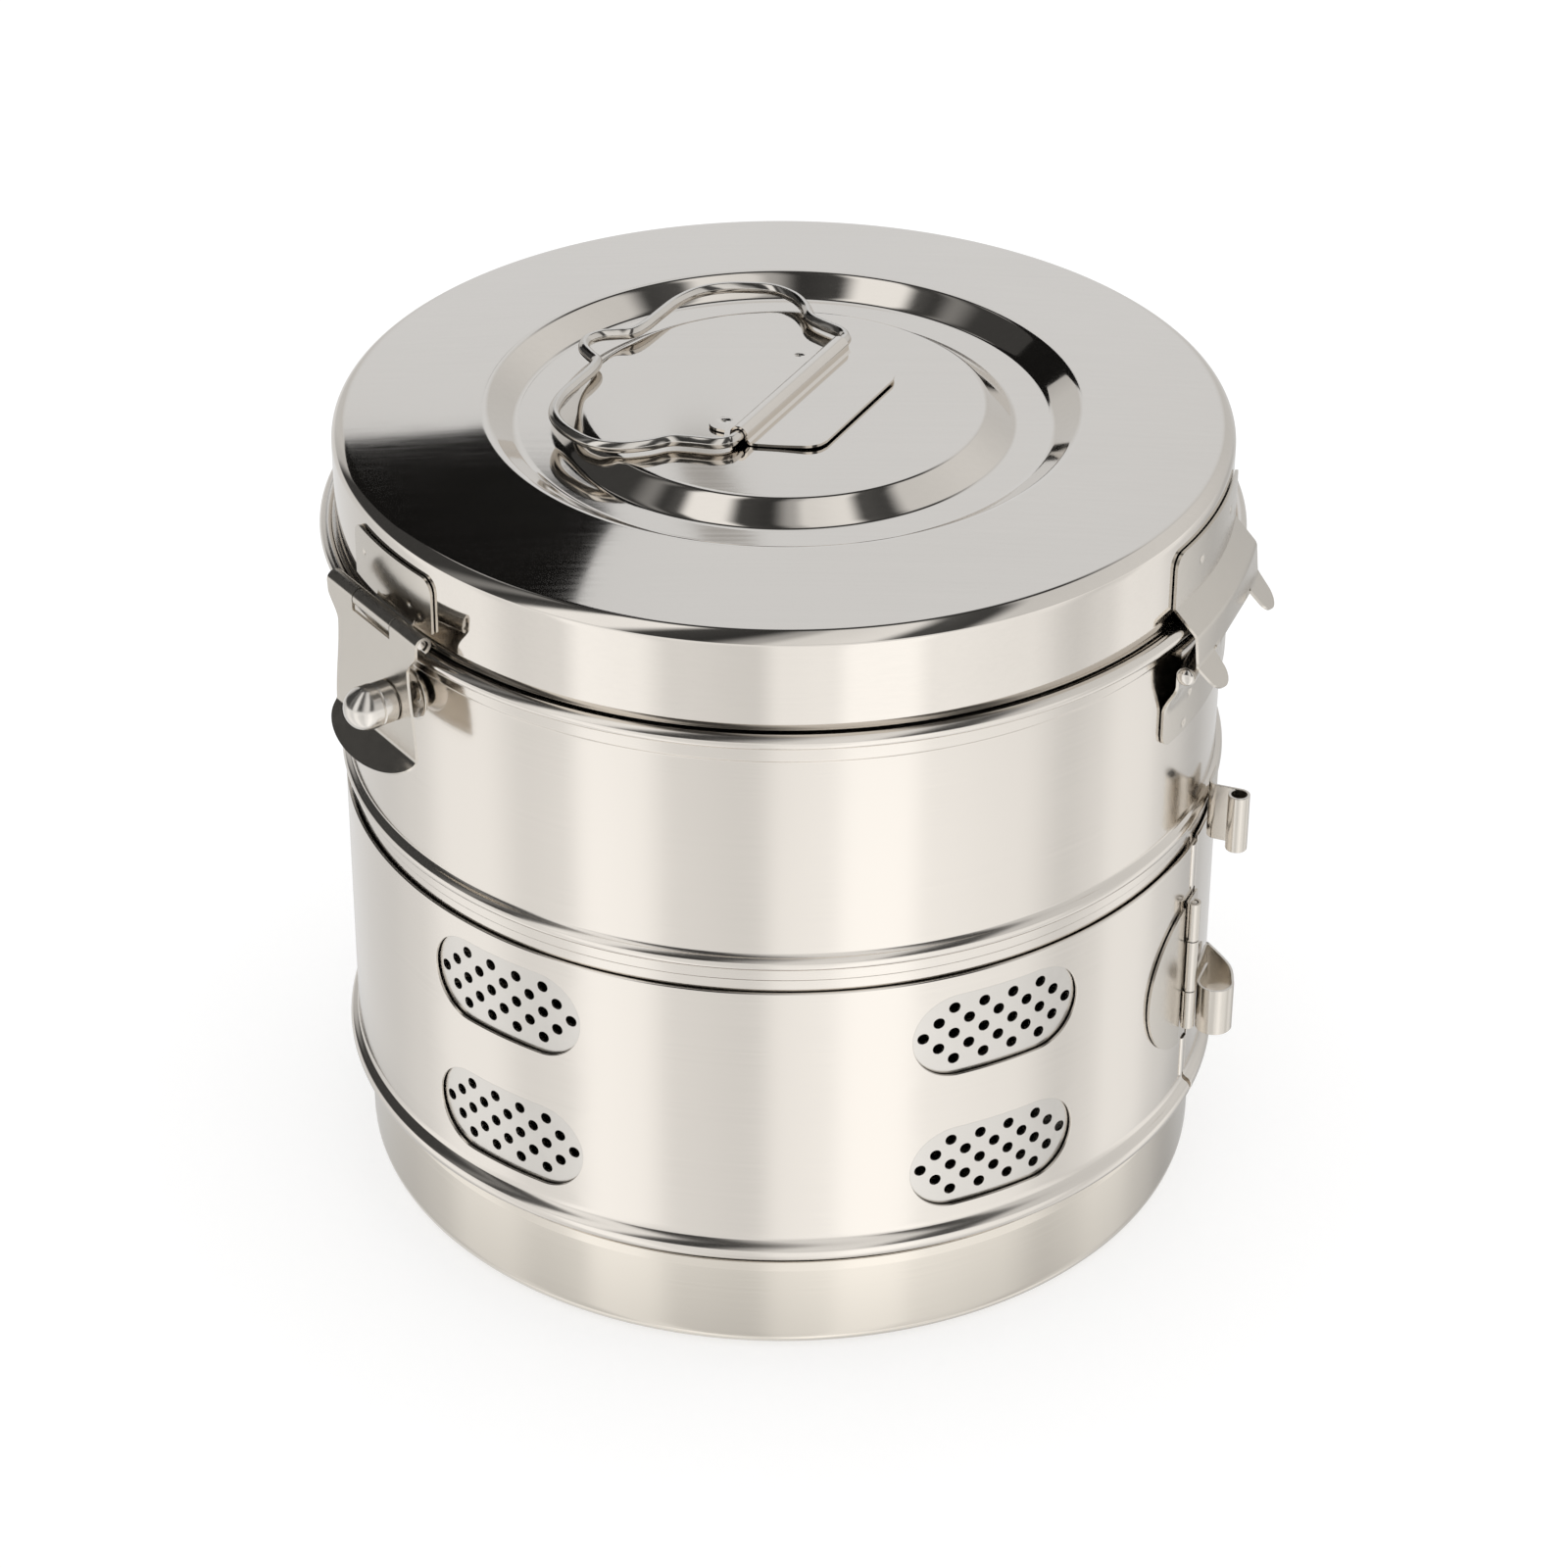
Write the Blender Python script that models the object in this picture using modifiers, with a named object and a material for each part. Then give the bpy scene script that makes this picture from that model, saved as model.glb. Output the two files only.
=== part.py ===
"""Dressing drum: a stainless-steel container for sterilizing dressings and instruments.

A deep-drawn wall stands in a base pan and is closed by a hinged lid. Perforated screens are let
into the wall, and a sleeve with windows turns round it to open or shut them. A hasp with a
domed knob closes the lid, a wire bail lifts it, and a sprung clasp bridges the sleeve's ends.

Frame: the origin is the centre of the flat underside and +Z is up. The front is -Y. Azimuths
are counted from the front towards +X. Hardware is drawn as if it sat at the front, with x
along the wall and y = -distance from the drum's axis, and is then turned to its azimuth.
"""
import math

import bmesh
import bpy
from mathutils import Matrix, Vector

MM = 0.001

# Gaps and facets
GAP = 0.3 * MM
SEGMENTS = 48
SMALL_SEGMENTS = 14
HOLE_SIDES = 6

# Sheet thicknesses
SHEET = 0.9 * MM
BAND_SHEET = 0.75 * MM
PLATE_SHEET = 0.8 * MM
CLASP_SHEET = 0.7 * MM

# Wall and base pan, stacked up from the ground
WALL_RADIUS = 119.5 * MM
PAN_HEIGHT = 29.5 * MM
PAN_INSET = 1.9 * MM
PAN_CORNER = 6.0 * MM
PAN_BEVEL = 2.6 * MM
FOOT_JOGGLE = 3.6 * MM
BAND_FOOT_GAP = 4.2 * MM
BAND_HEIGHT = 85.1 * MM
MID_BEAD_RISE = 8.9 * MM
MID_BEAD_HALF = 2.1 * MM
MID_BEAD_PROUD = 2.0 * MM
COLLAR_HEIGHT = 5.1 * MM
COLLAR_PROUD = 0.4 * MM
UPPER_WALL_HEIGHT = 69.3 * MM
SLEEVE_HEIGHT = 9.1 * MM
SLEEVE_PROUD = 0.6 * MM
RIM_BEAD_SECTION = 1.95 * MM
RIM_BEAD_OFFSET = 3.0 * MM

# Neck and lid
LID_INSET = 1.5 * MM
LID_HEIGHT = 29.7 * MM
LID_EDGE = 5.5 * MM
NECK_CLEARANCE = 2.1 * MM
NECK_HEIGHT = 16.0 * MM
PLATEAU_RADIUS = 54.0 * MM
GROOVE_OUTER_RADIUS = 79.2 * MM
GROOVE_SLOPE_RUN = 7.8 * MM
GROOVE_DEPTH = 5.0 * MM

# Vent screens, and the sleeve that covers them
VENT_COLUMNS = 5
VENT_PITCH = 66.0
VENT_FIRST_AZIMUTH = 28.4
VENT_ROW_LOW = 57.6 * MM
VENT_ROW_SPACING = 42.4 * MM
WINDOW_LENGTH = 49.6 * MM
WINDOW_HEIGHT = 25.4 * MM
SCREEN_OVERLAP = 2.0 * MM
HOLE_RADIUS = 1.6 * MM
HOLE_PITCH = 8.6 * MM
HOLE_ROW_PITCH = 4.0 * MM
BAND_RUNNING_GAP = 0.45 * MM
BAND_BEAD_HEIGHT = 5.2 * MM
BAND_BEAD_PROUD = 2.4 * MM
SEAM_AZIMUTH = 67.3
SEAM_SLOT = 1.0 * MM
HEM_WIDTH = 3.4 * MM
HEM_PROUD = 0.5 * MM

# Clasp on the sleeve
CLASP_AZIMUTH = 65.4
CLASP_TOP = 102.0 * MM
CLASP_LENGTH = 40.7 * MM
CLASP_END_KNUCKLE = 12.0 * MM
CLASP_KNUCKLE = 1.55 * MM
CLASP_PIN_RADIUS = 0.9 * MM
CLASP_PLATE_RADIUS = 22.4 * MM
CLASP_PLATE_DROP = 2.6 * MM
LEAF_REACH = 6.5 * MM
LOOP_HEIGHT = 14.5 * MM
LOOP_LENGTH = 24.5 * MM
LOOP_RADIUS = 4.7 * MM
LOOP_DROP = 3.2 * MM
LOOP_STANDOFF = 1.9 * MM

# Fixed eye that a seal is passed through
EYE_AZIMUTH = 69.7
EYE_HEIGHT = 17.0 * MM
EYE_RADIUS = 2.55 * MM
EYE_STANDOFF = 10.4 * MM
EYE_FOOT = 9.5 * MM

# Lid hinge
HINGE_AZIMUTH = 69.0
HINGE_DROP = 12.8 * MM
HINGE_OFFSET = 2.95 * MM
HINGE_KNUCKLE = 2.2 * MM
HINGE_PIN_RADIUS = 1.5 * MM
HINGE_MIDDLE_HALF = 15.2 * MM
HINGE_BODY_HALF = 28.6 * MM
HINGE_BODY_DROP = 23.2 * MM
HINGE_LID_HALF = 27.0 * MM
EAR_INNER = 17.0 * MM
EAR_LENGTH = 9.6 * MM
EAR_ANGLE = 40.0
PLATE_TOP_DROP = 9.2 * MM
PLATE_FOOT_DROP = 24.5 * MM
PLATE_CORNER = 4.0 * MM
FLARE_CLEARANCE = 1.5 * MM
FLARE_FLATNESS = 0.5
FLARE_DROP = 7.7 * MM

# Latch: hasp, knob and keeper
LATCH_AZIMUTH = -54.8
LATCH_RISE = 6.8 * MM
LATCH_OFFSET = 6.8 * MM
LATCH_KNUCKLE = 2.0 * MM
LATCH_PIN_RADIUS = 1.3 * MM
LATCH_BARREL_HALF = 21.8 * MM
LATCH_MIDDLE_HALF = 9.0 * MM
LATCH_PLATE_HALF = 19.5 * MM
LATCH_PLATE_SHIFT = -3.5 * MM
LATCH_BEND_DROP = 22.6 * MM
HASP_LENGTH = 35.0 * MM
HASP_WAIST_HALF = 17.0 * MM
HASP_WAIST_DROP = 9.5 * MM
HASP_FOOT_HALF = 19.8 * MM
LIP_LENGTH = 9.3 * MM
LIP_ANGLE = 51.0
KNOB_DROP = 21.6 * MM
KNOB_ALONG = 7.8 * MM
KNOB_RADIUS = 5.9 * MM
KNOB_BASE_RADIUS = 5.7 * MM
KNOB_BASE = 4.0 * MM
KNOB_REACH = 7.4 * MM
KNOB_GROOVE = 0.35 * MM
KNOB_BORE = 4.4 * MM
KNOB_BORE_DEPTH = 4.8 * MM
SNAP_SPRING_WIRE = 0.6 * MM
KEEPER_RADIUS = 7.5 * MM
KEEPER_DISH = 2.8 * MM
KEEPER_STUD_RADIUS = 2.9 * MM
KEEPER_NOSE_GAP = 0.4 * MM

# Bail handle and its saddle, placed on the lid's plateau
BAIL_ANGLE = 63.0
BAIL_CENTRE_X = 1.7 * MM
BAIL_CENTRE_Y = 2.1 * MM
BAIL_WIRE = 2.1 * MM
SADDLE_SHEET = 0.7 * MM
SADDLE_ROLL_HALF = 29.6 * MM
SADDLE_STRIP_REACH = 12.0 * MM
SADDLE_STRIP_HALF = 26.5 * MM
SADDLE_LEAF_REACH = 20.8 * MM
SADDLE_LEAF_HALF = 23.5 * MM
SADDLE_LEAF_LIFT = 1.3 * MM
BAIL_REACH = 61.8 * MM
BAIL_ROOT_HALF = 33.5 * MM
BAIL_WIDEST_HALF = 51.5 * MM

# Levels and radii that follow from the sizes above
BAND_FOOT_Z = PAN_HEIGHT + BAND_FOOT_GAP
BAND_TOP_Z = BAND_FOOT_Z + BAND_HEIGHT
MID_BEAD_Z = BAND_TOP_Z + MID_BEAD_RISE
SHOULDER_Z = MID_BEAD_Z + UPPER_WALL_HEIGHT
LID_FOOT_Z = SHOULDER_Z + GAP
LID_TOP_Z = LID_FOOT_Z + LID_HEIGHT
PAN_RADIUS = WALL_RADIUS - PAN_INSET
WALL_FOOT_RADIUS = PAN_RADIUS - SHEET - GAP
LID_RADIUS = WALL_RADIUS - LID_INSET
NECK_RADIUS = LID_RADIUS - SHEET - NECK_CLEARANCE
RIM_BEAD_RADIUS = WALL_RADIUS + RIM_BEAD_OFFSET
RIM_OUTER_RADIUS = RIM_BEAD_RADIUS + RIM_BEAD_SECTION
BAND_INNER_RADIUS = WALL_RADIUS + BAND_RUNNING_GAP
BAND_RADIUS = BAND_INNER_RADIUS + BAND_SHEET
PLATE_ON_LID = LID_RADIUS + GAP + PLATE_SHEET / 2
PLATE_ON_WALL = WALL_RADIUS + GAP + PLATE_SHEET / 2
CLASP_SHEET_RADIUS = BAND_RADIUS + GAP + CLASP_SHEET / 2
CLASP_AXIS = CLASP_SHEET_RADIUS + CLASP_KNUCKLE
HINGE_AXIS = WALL_RADIUS + HINGE_OFFSET
HINGE_Z = SHOULDER_Z - HINGE_DROP
LATCH_AXIS = WALL_RADIUS + LATCH_OFFSET
LATCH_Z = SHOULDER_Z + LATCH_RISE
KNOB_Z = LATCH_Z - KNOB_DROP
BAIL_Z = LID_TOP_Z + GAP + BAIL_WIRE


def clear_scene():
    """Remove what a new file starts with."""
    for leftover in list(bpy.data.objects):
        bpy.data.objects.remove(leftover, do_unlink=True)


def new_collection(name):
    collection = bpy.data.collections.new(name)
    bpy.context.scene.collection.children.link(collection)
    return collection


clear_scene()
DRUM = new_collection("sterilization_container")
CUTTERS = new_collection("cutters")


def steel(name, tone, roughness):
    """Stainless steel: a warm pale grey whose polish is set by its roughness."""
    material = bpy.data.materials.new(name)
    material.use_nodes = True
    shader = material.node_tree.nodes["Principled BSDF"]
    shader.inputs["Base Color"].default_value = (tone, tone * 0.975, tone * 0.94, 1.0)
    shader.inputs["Metallic"].default_value = 1.0
    shader.inputs["Roughness"].default_value = roughness
    return material


SATIN = dict(tone=0.70, roughness=0.30)
BRIGHT = dict(tone=0.76, roughness=0.12)
STAMPED = dict(tone=0.64, roughness=0.24)
WIRE = dict(tone=0.72, roughness=0.16)


def add_object(name, mesh, finish, matrix=Matrix.Identity(4)):
    """Link a mesh as one named piece with its own steel."""
    piece = bpy.data.objects.new(name, mesh)
    mesh.materials.clear()
    mesh.materials.append(steel(name + "_steel", **finish))
    piece.matrix_world = matrix
    DRUM.objects.link(piece)
    return piece


def turn_to(azimuth):
    """Turn something drawn at the front to its azimuth."""
    return Matrix.Rotation(math.radians(azimuth), 4, "Z")


def facing_out(azimuth, along, distance, height):
    """Stand a turned piece on the wall, with its own +Z pointing outwards."""
    place = Matrix.Translation((along, -distance, height)) @ Matrix.Rotation(math.pi / 2, 4, "X")
    return turn_to(azimuth) @ place


def along_wall(azimuth, distance, height):
    """Lay a turned piece along the wall, with its own +Z pointing to the right."""
    place = Matrix.Translation((0.0, -distance, height)) @ Matrix.Rotation(math.pi / 2, 4, "Y")
    return turn_to(azimuth) @ place


def pivot(name, matrix):
    """An empty on a joint's axis, which carries the pieces that turn there."""
    empty = bpy.data.objects.new(name, None)
    empty.matrix_world = matrix
    empty.empty_display_size = 10 * MM
    DRUM.objects.link(empty)
    return empty


def carry(empty, matrix, *pieces):
    """Parent pieces to a pivot without moving them."""
    for piece in pieces:
        piece.parent = empty
        piece.matrix_parent_inverse = matrix.inverted()


def arc(centre_x, centre_y, radius, start, end, steps):
    """Points on an arc, from one angle to another in degrees, both ends included."""
    points = []
    for step in range(steps + 1):
        angle = math.radians(start + (end - start) * step / steps)
        points.append((centre_x + radius * math.cos(angle), centre_y + radius * math.sin(angle)))
    return points


def turned(name, profile, finish, matrix=Matrix.Identity(4), segments=SEGMENTS, closed=False):
    """A turned piece: a profile of (radius, height) swept once round its own Z axis."""
    mesh = bpy.data.meshes.new(name)
    edges = [(i, i + 1) for i in range(len(profile) - 1)]
    if closed:
        edges.append((len(profile) - 1, 0))
    mesh.from_pydata([(radius, 0.0, height) for radius, height in profile], edges, [])
    piece = add_object(name, mesh, finish, matrix)
    screw = piece.modifiers.new("turn", "SCREW")
    screw.steps = segments
    screw.render_steps = segments
    screw.use_merge_vertices = True
    screw.merge_threshold = 0.00001
    screw.use_smooth_shade = True
    return piece


def cut(piece, cutter, operation="DIFFERENCE"):
    boolean = piece.modifiers.new(operation.lower(), "BOOLEAN")
    boolean.operation = operation
    boolean.solver = "EXACT"
    boolean.object = cutter


def add_cutter(name, mesh, matrix=Matrix.Identity(4)):
    cutter = bpy.data.objects.new(name, mesh)
    cutter.matrix_world = matrix
    cutter.display_type = "WIRE"
    cutter.hide_render = True
    CUTTERS.objects.link(cutter)
    return cutter


def finish_mesh(name, build):
    """Turn a bmesh into a mesh with its normals outwards and no loose points."""
    loose = [vert for vert in build.verts if not vert.link_faces]
    bmesh.ops.delete(build, geom=loose, context="VERTS")
    bmesh.ops.recalc_face_normals(build, faces=build.faces)
    mesh = bpy.data.meshes.new(name)
    build.to_mesh(mesh)
    build.free()
    mesh.shade_smooth()
    mesh.set_sharp_from_angle(angle=math.radians(35))
    return mesh


def bent_sheet(name, rows, thickness, finish, matrix, keep=None):
    """A bent sheet: rows of points on its middle surface, thickened by Solidify.

    keep(i, j) says whether the cell between rows i, i + 1 and columns j, j + 1 is metal.
    """
    build = bmesh.new()
    grid = [[build.verts.new(point) for point in row] for row in rows]
    for i in range(len(rows) - 1):
        for j in range(len(rows[0]) - 1):
            if keep is None or keep(i, j):
                build.faces.new((grid[i][j], grid[i][j + 1], grid[i + 1][j + 1], grid[i + 1][j]))
    piece = add_object(name, finish_mesh(name, build), finish, matrix)
    solidify = piece.modifiers.new("sheet", "SOLIDIFY")
    solidify.thickness = thickness
    solidify.offset = 0.0
    solidify.use_even_offset = True
    return piece


def front(along, distance, height):
    """A point on the hardware at the front: along the wall, out from the axis, and up."""
    return Vector((along, -distance, height))


def on_cylinder(radius, along):
    """How far out a cylinder is where it is this far along the wall from the front."""
    return math.sqrt(radius * radius - along * along)


def wrapped(radius, along, height):
    """A point of a flat pattern wrapped round a cylinder."""
    angle = along / radius
    return Vector((radius * math.sin(angle), -radius * math.cos(angle), height))


def mix(start, end, share):
    return start + (end - start) * share


def smooth_step(share):
    share = min(max(share, 0.0), 1.0)
    return share * share * (3.0 - 2.0 * share)


def corner_drop(along, half, corner):
    """How far a rounded corner falls below its edge, this far along it."""
    inside = abs(along) - (half - corner)
    if inside <= 0.0:
        return 0.0
    return corner - math.sqrt(max(corner * corner - inside * inside, 0.0))


def obround(length, height, steps=8):
    """The outline of a slot with round ends, whose facets touch the circle from outside."""
    radius = height / 2
    middle = length / 2 - radius
    half_step = 90 / steps
    corner = radius / math.cos(math.radians(half_step))
    right = arc(middle, 0.0, corner, half_step - 90, 90 - half_step, steps - 1)
    left = arc(-middle, 0.0, corner, 90 + half_step, 270 - half_step, steps - 1)
    return right + left


def window_cutters(name, length, height):
    """Slots through the wall at each vent, pointing at the drum's axis."""
    build = bmesh.new()
    near = WALL_RADIUS * 0.93
    far = WALL_RADIUS * 1.06
    for azimuth, level in vent_places():
        turn = turn_to(azimuth)
        outline = obround(length, height)
        ring = [build.verts.new(turn @ Vector((x, -near, level + z))) for x, z in outline]
        face = build.faces.new(ring)
        grown = bmesh.ops.extrude_face_region(build, geom=[face])
        moved = [item for item in grown["geom"] if isinstance(item, bmesh.types.BMVert)]
        bmesh.ops.translate(build, verts=moved, vec=turn @ Vector((0.0, near - far, 0.0)))
    return add_cutter(name, finish_mesh(name, build))


def vent_places():
    """Azimuth and height of each vent, column by column."""
    places = []
    for column in range(VENT_COLUMNS):
        for row in range(2):
            azimuth = VENT_FIRST_AZIMUTH - VENT_PITCH * column
            places.append((azimuth, VENT_ROW_LOW + VENT_ROW_SPACING * row))
    return places


def make_drum_shell():
    """Neck, rolled rim, wall with its beads, and the foot that stands in the base pan."""
    sleeve_radius = WALL_RADIUS + SLEEVE_PROUD
    collar_radius = WALL_RADIUS + COLLAR_PROUD
    collar_foot = MID_BEAD_Z - COLLAR_HEIGHT
    bead_z = SHOULDER_Z - RIM_BEAD_SECTION * math.sin(math.radians(45))
    inner = WALL_RADIUS - SHEET
    joggle_top = BAND_FOOT_Z - GAP
    joggle_foot = joggle_top - FOOT_JOGGLE
    foot_z = SHEET + PAN_CORNER
    outside = [(NECK_RADIUS, SHOULDER_Z + NECK_HEIGHT), (NECK_RADIUS + SHEET / 2, SHOULDER_Z)]
    outside += arc(RIM_BEAD_RADIUS, bead_z, RIM_BEAD_SECTION, 135, -90, 5)
    outside += [(sleeve_radius, bead_z - RIM_BEAD_SECTION - SHEET / 2)]
    outside += [(sleeve_radius, SHOULDER_Z - SLEEVE_HEIGHT + SLEEVE_PROUD)]
    outside += [(WALL_RADIUS, SHOULDER_Z - SLEEVE_HEIGHT)]
    for share in (1.0, 0.55, -0.05, -0.62):
        proud = MID_BEAD_PROUD * math.sqrt(1.0 - share * share)
        outside += [(WALL_RADIUS + proud, MID_BEAD_Z + MID_BEAD_HALF * share)]
    outside += [(collar_radius, MID_BEAD_Z - MID_BEAD_HALF), (collar_radius, collar_foot)]
    outside += [(WALL_RADIUS, collar_foot - COLLAR_PROUD), (WALL_RADIUS, joggle_top)]
    outside += [(WALL_FOOT_RADIUS, joggle_foot), (WALL_FOOT_RADIUS, foot_z)]
    inside = [(WALL_FOOT_RADIUS - SHEET, foot_z), (WALL_FOOT_RADIUS - SHEET, joggle_foot)]
    inside += [(inner, joggle_top), (inner, SHOULDER_Z - 2 * SHEET)]
    inside += [(NECK_RADIUS + SHEET / 2, SHOULDER_Z - SHEET)]
    inside += [(NECK_RADIUS - SHEET, SHOULDER_Z), (NECK_RADIUS - SHEET, SHOULDER_Z + NECK_HEIGHT)]
    shell = turned("drum_shell", outside + inside, SATIN, closed=True)
    clearance = 2 * (SCREEN_OVERLAP + GAP)
    windows = window_cutters("wall_windows", WINDOW_LENGTH + clearance, WINDOW_HEIGHT + clearance)
    cut(shell, windows)


def make_base_pan():
    """The pan that the wall stands in, with a flat floor and a rounded foot."""
    inner = PAN_RADIUS - SHEET
    middle = PAN_RADIUS - PAN_CORNER
    profile = [(0.0, SHEET)]
    profile += arc(middle, PAN_CORNER, PAN_CORNER - SHEET, -90, 0, 3)
    profile += [(inner, PAN_HEIGHT), (PAN_RADIUS - SHEET * 0.45, PAN_HEIGHT)]
    profile += [(PAN_RADIUS, PAN_HEIGHT - PAN_BEVEL)]
    profile += arc(middle, PAN_CORNER, PAN_CORNER, 0, -90, 4)
    profile += [(0.0, 0.0)]
    turned("base_pan", profile, SATIN)


def hole_columns():
    """Screen holes by column: five staggered rows of four, five, six, five and four."""
    columns = {}
    for row, count in zip(range(-2, 3), (4, 5, 6, 5, 4)):
        for index in range(count):
            key = 2 * index - (count - 1)
            columns.setdefault(key, []).append(row * HOLE_ROW_PITCH)
    return columns


def screen_mesh():
    """One vent screen, drawn in upright strips that each hold one column of holes.

    Strips keep every facet short, so the screen stays round when it is wrapped.
    """
    half_height = WINDOW_HEIGHT / 2 + SCREEN_OVERLAP
    half_length = WINDOW_LENGTH / 2 + SCREEN_OVERLAP
    straight = half_length - half_height
    radius = WALL_RADIUS - SHEET / 2
    build = bmesh.new()

    def edge_height(x):
        over = max(abs(x) - straight, 0.0)
        return math.sqrt(max(half_height * half_height - over * over, 0.0))

    for key, levels in hole_columns().items():
        centre = key * HOLE_PITCH / 2
        left = centre - HOLE_PITCH / 4
        right = centre + HOLE_PITCH / 4
        outline = [(left, -edge_height(left)), (right, -edge_height(right))]
        outline += [(right, edge_height(right)), (left, edge_height(left))]
        if abs(key) == 5:
            side = math.copysign(1.0, key)
            inner = abs(centre) - HOLE_PITCH / 4
            start = math.degrees(math.acos((inner - straight) / half_height))
            end = arc(straight, 0.0, half_height, -start, start, 6)
            outline = [(side * x, z) for x, z in end]
        loops = [outline]
        for level in levels:
            loops.append(arc(centre, level, HOLE_RADIUS, 0, 360, HOLE_SIDES)[:-1])
        edges = []
        for loop in loops:
            ring = [build.verts.new(wrapped(radius, x, z)) for x, z in loop]
            for index, vert in enumerate(ring):
                edges.append(build.edges.new((vert, ring[(index + 1) % len(ring)])))
        bmesh.ops.triangle_fill(build, edges=edges, use_beauty=True, normal=(0.0, -1.0, 0.0))
    bmesh.ops.remove_doubles(build, verts=build.verts, dist=0.005 * MM)
    return finish_mesh("vent_screen", build)


def make_vent_screens():
    """Perforated screens let into the wall, two to a column."""
    mesh = screen_mesh()
    for number, (azimuth, level) in enumerate(vent_places(), start=1):
        place = turn_to(azimuth) @ Matrix.Translation((0.0, 0.0, level))
        screen = add_object(f"vent_screen_{number}", mesh.copy(), SATIN, place)
        solidify = screen.modifiers.new("sheet", "SOLIDIFY")
        solidify.thickness = SHEET
        solidify.offset = 0.0


def make_vent_band():
    """The turning sleeve: windows, a rolled foot, and a seam whose near end is hemmed."""
    bead_top = BAND_FOOT_Z + BAND_BEAD_HEIGHT
    outside = [(BAND_RADIUS, BAND_TOP_Z), (BAND_RADIUS, bead_top)]
    for share in (0.62, 0.0, -0.66):
        proud = BAND_BEAD_PROUD * math.sqrt(1.0 - share * share)
        level = BAND_FOOT_Z + BAND_BEAD_HEIGHT * (share + 1.0) / 2
        outside += [(BAND_RADIUS + proud, level)]
    outside += [(BAND_RADIUS, BAND_FOOT_Z)]
    inside = [(BAND_INNER_RADIUS, BAND_FOOT_Z), (BAND_INNER_RADIUS, BAND_TOP_Z)]
    band = turned("vent_band", outside + inside, SATIN, closed=True)
    cut(band, window_cutters("band_windows", WINDOW_LENGTH, WINDOW_HEIGHT))

    hem = bmesh.new()
    clasp_foot = CLASP_TOP - CLASP_LENGTH - 2 * LOOP_DROP
    for low, high in ((CLASP_TOP + 2 * MM, BAND_TOP_Z - GAP), (bead_top + 3 * MM, clasp_foot)):
        size = (HEM_WIDTH, BAND_SHEET + HEM_PROUD, high - low)
        middle = BAND_RADIUS + HEM_PROUD - size[1] / 2
        made = bmesh.ops.create_cube(hem, size=1.0)
        bmesh.ops.scale(hem, vec=size, verts=made["verts"])
        bmesh.ops.translate(hem, vec=(0.0, -middle, (low + high) / 2), verts=made["verts"])
    hem_place = turn_to(SEAM_AZIMUTH)
    cut(band, add_cutter("seam_hem", finish_mesh("seam_hem", hem), hem_place), "UNION")

    slot = bmesh.new()
    made = bmesh.ops.create_cube(slot, size=1.0)
    slot_size = (SEAM_SLOT, WALL_RADIUS * 0.2, BAND_HEIGHT * 1.2)
    bmesh.ops.scale(slot, vec=slot_size, verts=made["verts"])
    slot_along = (HEM_WIDTH + SEAM_SLOT) / 2 + GAP
    slot_at = (slot_along, -WALL_RADIUS, (BAND_TOP_Z + BAND_FOOT_Z) / 2)
    bmesh.ops.translate(slot, vec=slot_at, verts=made["verts"])
    cut(band, add_cutter("seam_slot", finish_mesh("seam_slot", slot), turn_to(SEAM_AZIMUTH)))
    band_axis = turn_to(0.0)
    carry(pivot("band_turn_axis", band_axis), band_axis, band)


def clasp_levels():
    """Heights of the clasp barrel's joints, from the top down."""
    foot = CLASP_TOP - CLASP_LENGTH
    upper = CLASP_TOP - CLASP_END_KNUCKLE
    lower = foot + CLASP_END_KNUCKLE
    return CLASP_TOP, upper, upper - GAP, lower + GAP, lower, foot


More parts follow.
